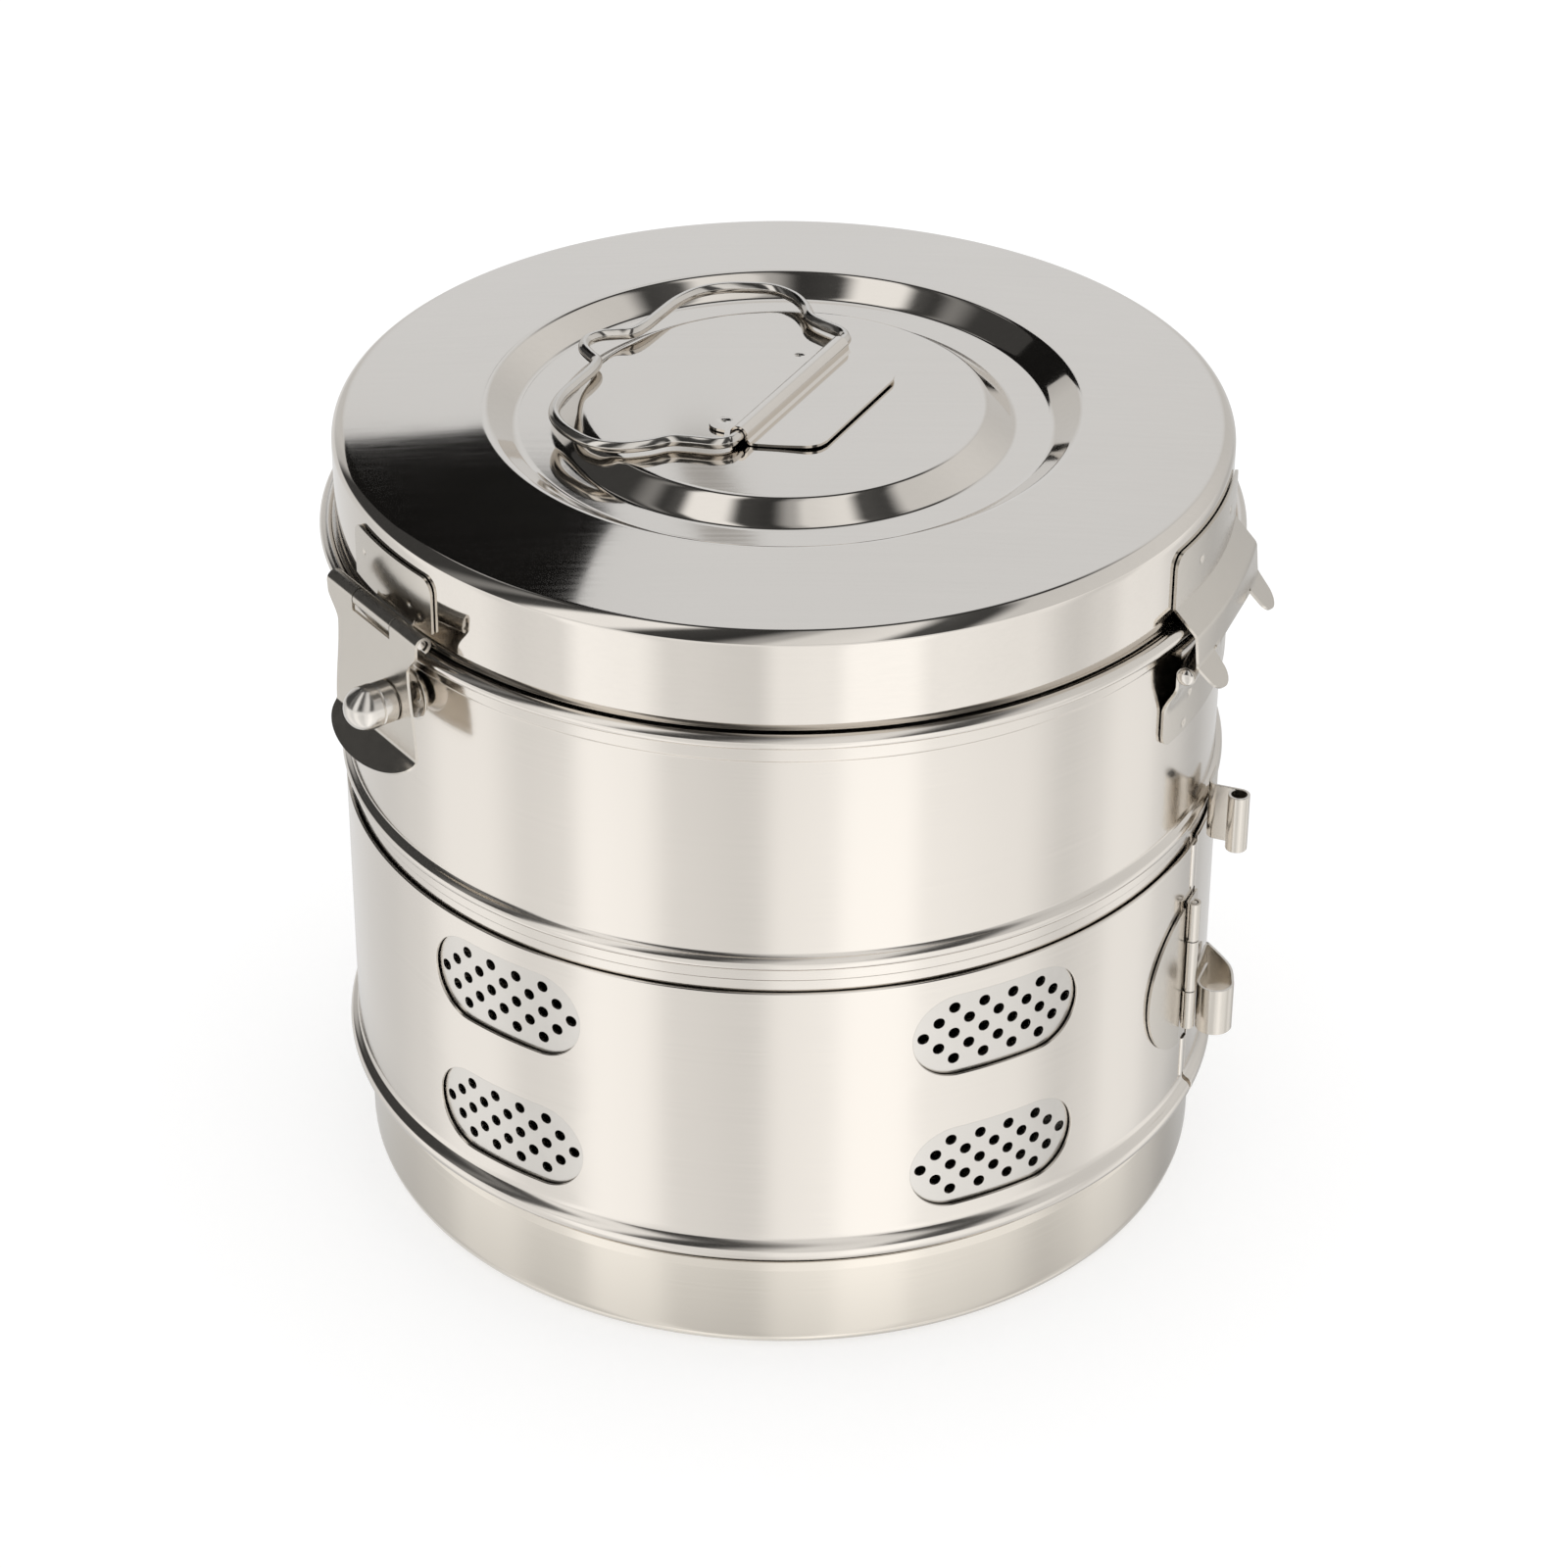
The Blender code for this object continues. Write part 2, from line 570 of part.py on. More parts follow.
def make_clasp():
    """Half-round plate on the sleeve, a pin, and a leaf that ends in a teardrop loop."""
    place = turn_to(CLASP_AZIMUTH)
    top, upper, plate_top, plate_foot, lower, foot = clasp_levels()
    curl = [(x, CLASP_AXIS + y) for x, y in arc(0.0, 0.0, CLASP_KNUCKLE, -90, 200, 9)]

    plate_centre = (top + foot) / 2 - CLASP_PLATE_DROP
    knuckle_half = (plate_top - plate_foot) / 2
    knuckle_middle = (plate_top + plate_foot) / 2
    rows = []
    for share in (0.995, 0.94, 0.8, 0.6, 0.35, 0.14):
        along = -CLASP_PLATE_RADIUS * share
        half = math.sqrt(CLASP_PLATE_RADIUS ** 2 - along ** 2)
        rows.append((wrapped(CLASP_SHEET_RADIUS, along, 0.0), half))
    for x, y in curl:
        rows.append((front(x, y, 0.0), CLASP_PLATE_RADIUS))
    plate_shares = (-1.0, -0.72, None, None, 0.72, 1.0)
    grid = []
    for point, half in rows:
        levels = []
        for index, share in enumerate(plate_shares):
            if share is None:
                side = -1.0 if index == 2 else 1.0
                inner = knuckle_middle + side * knuckle_half
                squeeze = half / CLASP_PLATE_RADIUS
                levels.append(mix(plate_centre, inner, squeeze))
            else:
                levels.append(plate_centre + half * share)
        grid.append([Vector((point.x, point.y, level)) for level in levels])
    flat_rows = 6
    plate = bent_sheet("clasp_plate", grid, CLASP_SHEET, STAMPED, place,
                       keep=lambda i, j: i < flat_rows - 1 or j == 2)

    mirrored = [(-x, y) for x, y in curl]
    path = [(front(x, y, 0.0), True) for x, y in reversed(mirrored)]
    for along in (2.6 * MM, LEAF_REACH):
        path.append((wrapped(CLASP_SHEET_RADIUS, along, 0.0), True))
    for along in (LOOP_LENGTH * 0.5, LOOP_LENGTH * 0.75, LOOP_LENGTH - LOOP_RADIUS * 0.3):
        path.append((wrapped(CLASP_SHEET_RADIUS, along, 0.0), False))
    for point in teardrop():
        path.append((point, False))
    loop_foot = foot - LOOP_DROP
    loop_top = loop_foot + LOOP_HEIGHT
    bounds = (loop_foot, foot, lower, loop_top, upper, top)
    heights = sorted(bounds)
    grid = [[Vector((point.x, point.y, level)) for level in heights] for point, _ in path]
    barrel_rows = len(curl)
    leaf_rows = barrel_rows + 1

    def leaf_metal(i, j):
        low, high = heights[j], heights[j + 1]
        end_knuckle = low >= upper or (low >= foot and high <= lower)
        on_leaf = low >= foot
        in_loop = low >= loop_foot and high <= loop_top
        if i < barrel_rows:
            return end_knuckle
        if i < leaf_rows:
            return on_leaf
        return in_loop

    leaf = bent_sheet("clasp_leaf", grid, CLASP_SHEET, STAMPED, place, keep=leaf_metal)

    half = CLASP_LENGTH / 2
    profile = [(0.0, half), (CLASP_PIN_RADIUS, half), (CLASP_PIN_RADIUS, -half), (0.0, -half)]
    pin_place = place @ Matrix.Translation((0.0, -CLASP_AXIS, (top + foot) / 2))
    pin = turned("clasp_pin", profile, WIRE, pin_place, SMALL_SEGMENTS)
    band_axis = turn_to(0.0)
    carry(bpy.data.objects["band_turn_axis"], band_axis, plate, pin)
    carry(pivot("clasp_axis", pin_place), pin_place, leaf)


def teardrop():
    """The loop's outline seen from above: back fold, outer side, round end, inner side."""
    fold = CLASP_SHEET_RADIUS + CLASP_SHEET * 1.2
    tip_x = LOOP_LENGTH
    centre_x = LOOP_RADIUS + CLASP_KNUCKLE + 1.4 * MM
    centre_y = CLASP_SHEET_RADIUS + LOOP_STANDOFF + LOOP_RADIUS
    points = [front(tip_x, on_cylinder(fold, tip_x), 0.0)]
    points.append(front(mix(tip_x, centre_x, 0.45), mix(fold, centre_y + LOOP_RADIUS, 0.6), 0.0))
    for x, y in arc(centre_x, centre_y, LOOP_RADIUS, 62, 262, 7):
        points.append(front(x, y, 0.0))
    end_x = mix(centre_x, tip_x, 0.45)
    points.append(front(end_x, on_cylinder(centre_y - LOOP_RADIUS, end_x) + GAP, 0.0))
    return points


def make_seal_eye():
    """The fixed eye by the middle bead: a foot on the bead, a web and a curled tube."""
    foot_radius = WALL_RADIUS + MID_BEAD_PROUD + GAP + PLATE_SHEET / 2
    top = MID_BEAD_Z + EYE_HEIGHT * 0.4
    foot = top - EYE_HEIGHT
    bend = 2.4 * MM
    centre_y = WALL_RADIUS + EYE_STANDOFF + EYE_RADIUS * 0.6
    path = [wrapped(foot_radius, EYE_FOOT, 0.0), wrapped(foot_radius, EYE_FOOT * 0.6, 0.0)]
    for x, y in arc(bend, foot_radius + bend, bend, -90, -180, 3):
        path.append(front(x, y, 0.0))
    for x, y in arc(-EYE_RADIUS, centre_y, EYE_RADIUS, 0, 320, 11):
        path.append(front(x, y, 0.0))
    levels = (foot, mix(foot, top, 0.5), top)
    grid = [[Vector((point.x, point.y, level)) for level in levels] for point in path]
    bent_sheet("seal_eye", grid, PLATE_SHEET, STAMPED, turn_to(EYE_AZIMUTH))


def make_lid_shell():
    """Shallow lid: flat rim, a sunk ring for stiffness, a level middle and a deep skirt."""
    rim_start = LID_RADIUS - LID_EDGE
    floor_out = GROOVE_OUTER_RADIUS - GROOVE_SLOPE_RUN
    floor_in = PLATEAU_RADIUS + GROOVE_SLOPE_RUN
    groove = [(PLATEAU_RADIUS - 1.0 * MM, 0.0), (PLATEAU_RADIUS + 1.4 * MM, -0.5 * MM)]
    groove += [(floor_in - 1.4 * MM, 0.5 * MM - GROOVE_DEPTH), (floor_in + MM, -GROOVE_DEPTH)]
    groove += [(floor_out - MM, -GROOVE_DEPTH), (floor_out + 1.4 * MM, 0.5 * MM - GROOVE_DEPTH)]
    groove += [(GROOVE_OUTER_RADIUS - 1.4 * MM, -0.5 * MM), (GROOVE_OUTER_RADIUS + MM, 0.0)]
    outside = [(0.0, LID_TOP_Z)] + [(r, LID_TOP_Z + drop) for r, drop in groove]
    outside += arc(rim_start, LID_TOP_Z - LID_EDGE, LID_EDGE, 90, 0, 4)
    outside += [(LID_RADIUS, LID_FOOT_Z)]
    inner = LID_RADIUS - SHEET
    inside = [(inner, LID_FOOT_Z)]
    inside += arc(rim_start, LID_TOP_Z - LID_EDGE, LID_EDGE - SHEET, 0, 90, 2)
    inside += [(r, LID_TOP_Z - SHEET + drop) for r, drop in reversed(groove)]
    inside += [(0.0, LID_TOP_Z - SHEET)]
    return turned("lid_shell", outside + inside, SATIN)


def hinge_flare():
    """Out and down path of the lid's hinge plate, from its top to where the ears start."""
    out = RIM_OUTER_RADIUS + FLARE_CLEARANCE + PLATE_SHEET / 2
    foot = LID_TOP_Z - PLATE_FOOT_DROP
    bead = SHOULDER_Z - RIM_BEAD_SECTION
    return [(PLATE_ON_LID, foot), (mix(PLATE_ON_LID, out, 0.12), foot - 0.9 * MM),
            (mix(PLATE_ON_LID, out, 0.9), bead + 1.1 * MM), (out, bead - 0.9 * MM),
            (out, bead - FLARE_DROP)]


def make_lid_hinge():
    """Body plate, lid plate with its two stop ears, and the pin they share."""
    place = turn_to(HINGE_AZIMUTH)
    body_out = (-1.0, -0.94, -0.8)
    middle = HINGE_MIDDLE_HALF
    body_inner = middle + GAP
    half = HINGE_BODY_HALF
    columns = [share * half for share in body_out] + [-body_inner, -body_inner / 3]
    columns += [-x for x in reversed(columns)]
    bottom = HINGE_Z - HINGE_BODY_DROP
    notch = HINGE_Z - HINGE_KNUCKLE - PLATE_SHEET - GAP
    plate_levels = (0.0, 0.25, 0.5, 0.75, 1.0)
    straight = HINGE_AXIS - HINGE_KNUCKLE
    rows = []
    for share in plate_levels:
        row = []
        for x in columns:
            low = bottom + corner_drop(x, half, PLATE_CORNER)
            level = mix(low, notch, share)
            blend = smooth_step((share - 0.45) / 0.55)
            row.append(front(x, mix(on_cylinder(PLATE_ON_WALL, x), straight, blend), level))
        rows.append(row)
    for y, z in arc(HINGE_AXIS, HINGE_Z, HINGE_KNUCKLE, 180, -75, 8):
        rows.append([front(x, y, z) for x in columns])
    last_flat = len(plate_levels) - 1
    inner_cells = (3, 4, 5)

    def body_metal(i, j):
        return i < last_flat or j not in inner_cells

    bent_sheet("hinge_body_plate", rows, PLATE_SHEET, STAMPED, place, keep=body_metal)

    lid_half = HINGE_LID_HALF
    ear_middle = (EAR_INNER + lid_half) / 2
    columns = [-lid_half, -mix(EAR_INNER, lid_half, 0.75), -mix(EAR_INNER, lid_half, 0.25)]
    columns += [-EAR_INNER, -middle, -middle / 3]
    columns += [-x for x in reversed(columns)]
    top = LID_TOP_Z - PLATE_TOP_DROP
    foot = LID_TOP_Z - PLATE_FOOT_DROP
    rows = []
    for share in (1.0, 0.72, 0.36):
        row = []
        for x in columns:
            level = mix(foot, top - corner_drop(x, lid_half, PLATE_CORNER), share)
            row.append(front(x, on_cylinder(PLATE_ON_LID, x), level))
        rows.append(row)
    flare = hinge_flare()
    for index, (radius, level) in enumerate(flare):
        flat = FLARE_FLATNESS * index / (len(flare) - 1)
        row = [front(x, mix(on_cylinder(radius, x), radius, flat), level) for x in columns]
        rows.append(row)
    shared_rows = len(rows) - 1
    radius, level = flare[-1]
    lean = math.radians(EAR_ANGLE)
    tongue = [(mix(radius, HINGE_AXIS + HINGE_KNUCKLE, 0.8), mix(level, HINGE_Z, 0.55))]
    tongue += arc(HINGE_AXIS, HINGE_Z, HINGE_KNUCKLE, 0, -262, 8)
    ear_shares = (0.12, 0.35, 0.6, 0.8, 0.93, 1.0)
    for index in range(len(tongue)):
        row = []
        for x in columns:
            if abs(x) <= middle:
                y, z = tongue[index]
                row.append(front(x, y, z))
                continue
            share = ear_shares[min(index, len(ear_shares) - 1)]
            reach = EAR_LENGTH * share
            taper = 1.12 - 0.3 * share - 0.45 * max(share - 0.6, 0.0) ** 2 / 0.16
            along = ear_middle + (abs(x) - ear_middle) * taper
            start = mix(on_cylinder(radius, along), radius, FLARE_FLATNESS)
            out = start + reach * math.sin(lean)
            row.append(front(math.copysign(along, x), out, level - reach * math.cos(lean)))
        rows.append(row)

    def lid_metal(i, j):
        if i < shared_rows:
            return True
        span = (abs(columns[j]) + abs(columns[j + 1])) / 2
        if span > EAR_INNER:
            return i < shared_rows + len(ear_shares)
        return span < middle

    lid_plate = bent_sheet("hinge_lid_plate", rows, PLATE_SHEET, STAMPED, place, keep=lid_metal)

    reach = half + GAP
    head = HINGE_KNUCKLE + PLATE_SHEET * 0.25
    dome = 1.2 * MM
    profile = [(0.0, reach + dome), (head * 0.7, reach + dome * 0.7), (head, reach)]
    profile += [(HINGE_PIN_RADIUS, reach), (HINGE_PIN_RADIUS, -reach), (head, -reach)]
    profile += [(head * 0.7, -reach - dome * 0.7), (0.0, -reach - dome)]
    pin_place = along_wall(HINGE_AZIMUTH, HINGE_AXIS, HINGE_Z)
    turned("hinge_pin", profile, WIRE, pin_place, SMALL_SEGMENTS)
    return lid_plate, pin_place


def make_latch_on_lid():
    """Plate spot-welded to the skirt, rolled round the latch pin at its middle."""
    place = turn_to(LATCH_AZIMUTH)
    half = LATCH_PLATE_HALF
    shift = LATCH_PLATE_SHIFT
    middle = LATCH_MIDDLE_HALF
    left = shift - half
    right = shift + half
    columns = [left, left + PLATE_CORNER * 0.25, left + PLATE_CORNER, -middle, -middle / 3]
    columns += [middle / 3, middle, right - PLATE_CORNER, right - PLATE_CORNER * 0.25, right]
    top = LID_TOP_Z - PLATE_TOP_DROP
    bend_z = LID_TOP_Z - LATCH_BEND_DROP
    rows = []
    for share in (1.0, 0.7, 0.35, 0.0):
        row = []
        for x in columns:
            foot = bend_z if abs(x) <= middle else LID_TOP_Z - PLATE_FOOT_DROP
            level = mix(foot, top - corner_drop(x - shift, half, PLATE_CORNER), share)
            row.append(front(x, on_cylinder(PLATE_ON_LID, x), level))
        rows.append(row)
    plate_rows = len(rows) - 1
    under = LATCH_Z - LATCH_KNUCKLE
    start = on_cylinder(PLATE_ON_LID, middle)
    bend = bend_z - under
    path = arc(start + bend, bend_z, bend, 202, 270, 3)
    path += arc(LATCH_AXIS, LATCH_Z, LATCH_KNUCKLE, -90, 165, 8)
    for y, z in path:
        rows.append([front(x, y, z) for x in columns])
    middle_cells = (3, 4, 5)
    lid_plate = bent_sheet("latch_lid_plate", rows, PLATE_SHEET, STAMPED, place,
                           keep=lambda i, j: i < plate_rows or j in middle_cells)
    reach = LATCH_BARREL_HALF - 0.6 * MM
    profile = [(0.0, reach), (LATCH_PIN_RADIUS, reach), (LATCH_PIN_RADIUS, -reach), (0.0, -reach)]
    pin_place = along_wall(LATCH_AZIMUTH, LATCH_AXIS, LATCH_Z)
    pin = turned("latch_pin", profile, WIRE, pin_place, SMALL_SEGMENTS)
    return lid_plate, pin, pin_place


def hasp_half_width(drop):
    """Half width of the hasp this far below its pin: wide barrel, slim waist, wide foot."""
    if drop < HASP_WAIST_DROP:
        share = smooth_step((drop - LATCH_KNUCKLE) / (HASP_WAIST_DROP - LATCH_KNUCKLE))
        return mix(LATCH_BARREL_HALF, HASP_WAIST_HALF, share)
    share = smooth_step((drop - HASP_WAIST_DROP) / (HASP_LENGTH - HASP_WAIST_DROP))
    return mix(HASP_WAIST_HALF, HASP_FOOT_HALF, share)


def make_hasp(pin_place):
    """Hasp with a finger lip, a hollow domed knob and the snap spring inside it."""
    place = turn_to(LATCH_AZIMUTH)
    face = LATCH_AXIS + LATCH_KNUCKLE
    knuckle = (LATCH_MIDDLE_HALF + GAP) / LATCH_BARREL_HALF
    shares = [-1.0, -0.72, -knuckle, -knuckle / 3]
    shares += [-share for share in reversed(shares)]
    lean = math.radians(LIP_ANGLE)
    fold_z = LATCH_Z - HASP_LENGTH
    rows = []
    for share in (0.985, 0.88, 0.66, 0.36, 0.06):
        reach = LIP_LENGTH * share
        half = HASP_FOOT_HALF * math.sqrt(1.0 - share * share)
        out = face + reach * math.sin(lean)
        rows.append([front(s * half, out, fold_z - reach * math.cos(lean)) for s in shares])
    notch = LATCH_KNUCKLE + PLATE_SHEET + GAP
    drops = [HASP_LENGTH - 0.4 * MM, HASP_LENGTH * 0.82, HASP_LENGTH * 0.5, HASP_WAIST_DROP * 1.3]
    drops += [HASP_WAIST_DROP * 0.72, HASP_WAIST_DROP * 0.48, notch]
    for drop in drops:
        half = hasp_half_width(drop)
        rows.append([front(s * half, face, LATCH_Z - drop) for s in shares])
    flat_rows = len(rows) - 1
    for y, z in arc(LATCH_AXIS, LATCH_Z, LATCH_KNUCKLE, 0, 255, 8):
        rows.append([front(s * LATCH_BARREL_HALF, y, z) for s in shares])
    middle_cells = (2, 3, 4)
    plate = bent_sheet("hasp_plate", rows, PLATE_SHEET, STAMPED, place,
                       keep=lambda i, j: i < flat_rows or j not in middle_cells)
    bore = bmesh.new()
    bmesh.ops.create_cone(bore, cap_ends=True, segments=12, radius1=KNOB_BORE - 0.2 * MM,
                          radius2=KNOB_BORE - 0.2 * MM, depth=4 * PLATE_SHEET)
    bore_place = facing_out(LATCH_AZIMUTH, KNOB_ALONG, face, KNOB_Z)
    cut(plate, add_cutter("hasp_bore", finish_mesh("hasp_bore", bore), bore_place))

    seat = PLATE_SHEET / 2 + GAP
    joint = seat + KNOB_BASE
    outside = arc(0.0, KNOB_REACH, KNOB_RADIUS, 90, 0, 5)
    outside += [(KNOB_RADIUS, joint + KNOB_GROOVE), (KNOB_BASE_RADIUS - KNOB_GROOVE, joint)]
    outside += [(KNOB_BASE_RADIUS, joint - KNOB_GROOVE), (KNOB_BASE_RADIUS, seat)]
    inside = [(KNOB_BORE, seat), (KNOB_BORE, seat + KNOB_BORE_DEPTH)]
    inside += [(0.0, seat + KNOB_BORE_DEPTH + KNOB_BORE * 0.5)]
    knob_place = facing_out(LATCH_AZIMUTH, KNOB_ALONG, face, KNOB_Z)
    knob = turned("hasp_knob", outside + inside, BRIGHT, knob_place, SMALL_SEGMENTS)
    ring = KNOB_BORE - GAP - SNAP_SPRING_WIRE / 2
    middle = seat + KNOB_BORE_DEPTH / 2
    loop = arc(ring, middle, SNAP_SPRING_WIRE / 2, 90, -270, 6)[:-1]
    spring = turned("snap_spring", loop, WIRE, knob_place, SMALL_SEGMENTS, closed=True)
    axis = pivot("hasp_axis", pin_place)
    carry(axis, pin_place, plate, knob, spring)
    return axis


def make_keeper():
    """Dished keeper on the wall, with the stud that the hasp's knob snaps onto."""
    back = WALL_RADIUS + GAP
    nose = LATCH_AXIS + LATCH_KNUCKLE - PLATE_SHEET / 2 - KEEPER_NOSE_GAP - back
    base = KEEPER_RADIUS * 0.62
    stud = KEEPER_STUD_RADIUS
    profile = [(0.0, nose)] + arc(0.0, nose - stud, stud, 60, 0, 2)
    profile += [(stud * 0.8, nose - stud - 0.8 * MM), (stud * 0.8, PLATE_SHEET)]
    profile += [(base, PLATE_SHEET), (KEEPER_RADIUS - PLATE_SHEET, KEEPER_DISH)]
    profile += [(KEEPER_RADIUS, KEEPER_DISH - PLATE_SHEET * 0.4), (base + PLATE_SHEET * 0.4, 0.0)]
    profile += [(0.0, 0.0)]
    place = facing_out(LATCH_AZIMUTH, KNOB_ALONG, back, KNOB_Z)
    turned("latch_keeper", profile, BRIGHT, place, SMALL_SEGMENTS)


def saddle_matrix():
    """The saddle's frame: its own x runs along the bail's axis, and y towards the bail."""
    move = Matrix.Translation((BAIL_CENTRE_X, BAIL_CENTRE_Y, 0.0))
    return move @ Matrix.Rotation(math.radians(BAIL_ANGLE), 4, "Z")


def make_saddle():
    """One sheet: a welded strip, a roll over the wire and a wide leaf on the other side."""
    roll = BAIL_WIRE + GAP + SADDLE_SHEET / 2
    flat = LID_TOP_Z + GAP + SADDLE_SHEET / 2
    foot = 1.1 * MM
    corner = 4.0 * MM
    shares = (-1.0, -0.94, -0.84, -0.4, 0.4, 0.84, 0.94, 1.0)
    rows = []
    for reach in (1.0, 0.94, 0.78, 0.5):
        y = mix(roll + foot, SADDLE_STRIP_REACH, reach)
        back = SADDLE_STRIP_REACH - y
        half = SADDLE_STRIP_HALF - corner_drop(corner - back, corner, corner) if back < corner else (
            SADDLE_STRIP_HALF)
        rows.append([Vector((share * half, y, flat)) for share in shares])
    half = SADDLE_ROLL_HALF
    rows.append([Vector((share * half, roll + foot, flat)) for share in shares])
    path = [(roll + foot * 0.25, flat + foot * 0.3)]
    path += arc(0.0, BAIL_Z, roll, 0, 180, 6)
    path += [(-roll - foot * 0.25, flat + foot * 0.3), (-roll - foot, flat)]
    for y, z in path:
        rows.append([Vector((share * half, y, z)) for share in shares])
    for reach in (0.35, 0.75, 0.92, 1.0):
        y = -mix(roll + foot, SADDLE_LEAF_REACH, reach)
        wide = mix(SADDLE_ROLL_HALF, SADDLE_LEAF_HALF, reach)
        back = SADDLE_LEAF_REACH + y
        if back < corner:
            wide -= corner_drop(corner - back, corner, corner)
        lift = SADDLE_LEAF_LIFT * smooth_step((reach - 0.3) / 0.7)
        rows.append([Vector((share * wide, y, flat + lift)) for share in shares])
    return bent_sheet("handle_saddle", rows, SADDLE_SHEET, STAMPED, saddle_matrix())


def bail_half():
    """One side of the bail from its butted end in the saddle to its middle bump."""
    root = BAIL_ROOT_HALF
    wide = BAIL_WIDEST_HALF
    reach = BAIL_REACH
    return [(0.0, 0.6 * MM), (0.0, root * 0.5), (0.0, root * 0.93), (reach * 0.015, root * 1.02),
            (reach * 0.06, wide * 0.71), (reach * 0.16, wide * 0.745),
            (reach * 0.235, wide * 0.785), (reach * 0.30, wide * 0.88),
            (reach * 0.39, wide * 0.965), (reach * 0.51, wide), (reach * 0.64, wide * 0.95),
            (reach * 0.735, wide * 0.875), (reach * 0.80, wide * 0.775),
            (reach * 0.835, wide * 0.63), (reach * 0.842, wide * 0.47),
            (reach * 0.845, wide * 0.29), (reach * 0.865, wide * 0.19),
            (reach * 0.915, wide * 0.145), (reach * 0.975, wide * 0.085), (reach, 0.0)]


def through(points, steps):
    """A smooth line through points (Catmull-Rom), with so many steps between two of them."""
    line = []
    for index in range(len(points) - 1):
        before = points[max(index - 1, 0)]
        start = points[index]
        end = points[index + 1]
        after = points[min(index + 2, len(points) - 1)]
        for step in range(steps):
            t = step / steps
            line.append(0.5 * ((2 * start) + (end - before) * t
                               + (2 * before - 5 * start + 4 * end - after) * t * t
                               + (3 * start - before - 3 * end + after) * t * t * t))
    line.append(points[-1])
    return line


def make_bail():
    """Wire bail: its butted ends lie in the saddle's roll, and its grip is humped."""
    half = [Vector((along, out, 0.0)) for out, along in bail_half()]
    whole = half + [Vector((-p.x, p.y, 0.0)) for p in reversed(half[:-1])]
    line = through(whole, 2)
    curve = bpy.data.curves.new("bail_handle", "CURVE")
    curve.dimensions = "3D"
    spline = curve.splines.new("POLY")
    spline.points.add(len(line) - 1)
    for point, position in zip(spline.points, line):
        point.co = (position.x, position.y, position.z, 1.0)
    curve.bevel_depth = BAIL_WIRE
    curve.bevel_resolution = 2
    curve.use_fill_caps = True
    curve.materials.append(steel("bail_handle_steel", **WIRE))
    place = saddle_matrix() @ Matrix.Translation((0.0, 0.0, BAIL_Z))
    bail = bpy.data.objects.new("bail_handle", curve)
    bail.matrix_world = place
    DRUM.objects.link(bail)
    return bail


def make_lid():
    """The lid with everything that swings with it."""
    shell = make_lid_shell()
    saddle = make_saddle()
    bail = make_bail()
    hinge_plate, hinge_place = make_lid_hinge()
    latch_plate, latch_pin, latch_place = make_latch_on_lid()
    hasp_axis = make_hasp(latch_place)
    bail_place = saddle_matrix() @ Matrix.Translation((0.0, 0.0, BAIL_Z))
    bail_axis = pivot("bail_axis", bail_place)
    carry(bail_axis, bail_place, bail)
    lid_axis = pivot("lid_hinge_axis", hinge_place)
    pieces = (shell, saddle, hinge_plate, latch_plate, latch_pin, hasp_axis, bail_axis)
    carry(lid_axis, hinge_place, *pieces)


make_drum_shell()
make_base_pan()
make_vent_screens()
make_vent_band()
make_clasp()
make_seal_eye()
make_keeper()
make_lid()
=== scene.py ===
# %% [markdown]
# # A stainless-steel dressing drum
#
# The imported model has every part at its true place, but with short facets and plain finishes.
# Here each part gets a fine surface, worked out as whole arrays, and steel that looks the way
# its maker left it: drawn, stamped, polished or bent from wire.

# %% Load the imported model
import math

import bpy
import numpy as np
from mathutils import Matrix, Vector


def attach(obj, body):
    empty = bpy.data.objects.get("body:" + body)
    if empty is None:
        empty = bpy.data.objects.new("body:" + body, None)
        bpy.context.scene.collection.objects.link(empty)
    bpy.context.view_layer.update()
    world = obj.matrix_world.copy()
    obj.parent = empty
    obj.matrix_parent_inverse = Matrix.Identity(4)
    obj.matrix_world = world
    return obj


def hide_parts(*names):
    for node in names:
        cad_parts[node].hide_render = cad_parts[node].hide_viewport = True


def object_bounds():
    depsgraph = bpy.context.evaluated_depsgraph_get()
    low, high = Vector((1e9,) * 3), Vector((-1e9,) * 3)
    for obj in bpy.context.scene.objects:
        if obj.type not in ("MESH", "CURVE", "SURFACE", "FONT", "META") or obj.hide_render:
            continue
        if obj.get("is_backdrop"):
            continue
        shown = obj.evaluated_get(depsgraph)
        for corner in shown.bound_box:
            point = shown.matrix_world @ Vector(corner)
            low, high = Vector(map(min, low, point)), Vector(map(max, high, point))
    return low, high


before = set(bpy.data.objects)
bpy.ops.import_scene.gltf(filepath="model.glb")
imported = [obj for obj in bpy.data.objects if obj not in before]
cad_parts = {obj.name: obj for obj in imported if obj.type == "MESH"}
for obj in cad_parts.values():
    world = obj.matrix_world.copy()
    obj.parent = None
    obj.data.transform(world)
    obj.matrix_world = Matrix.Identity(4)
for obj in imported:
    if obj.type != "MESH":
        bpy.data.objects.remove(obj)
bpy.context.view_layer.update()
print("parts in the frame:", len(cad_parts))

# %% [markdown]
# ## Sizes
#
# These are the drum's own sizes in millimetres, as its drawing gives them. Azimuths are counted
# in degrees from the front, which is -Y, towards +X. Each fitting is drawn as if it sat at the
# front, with x along the wall, and is then turned to its azimuth.

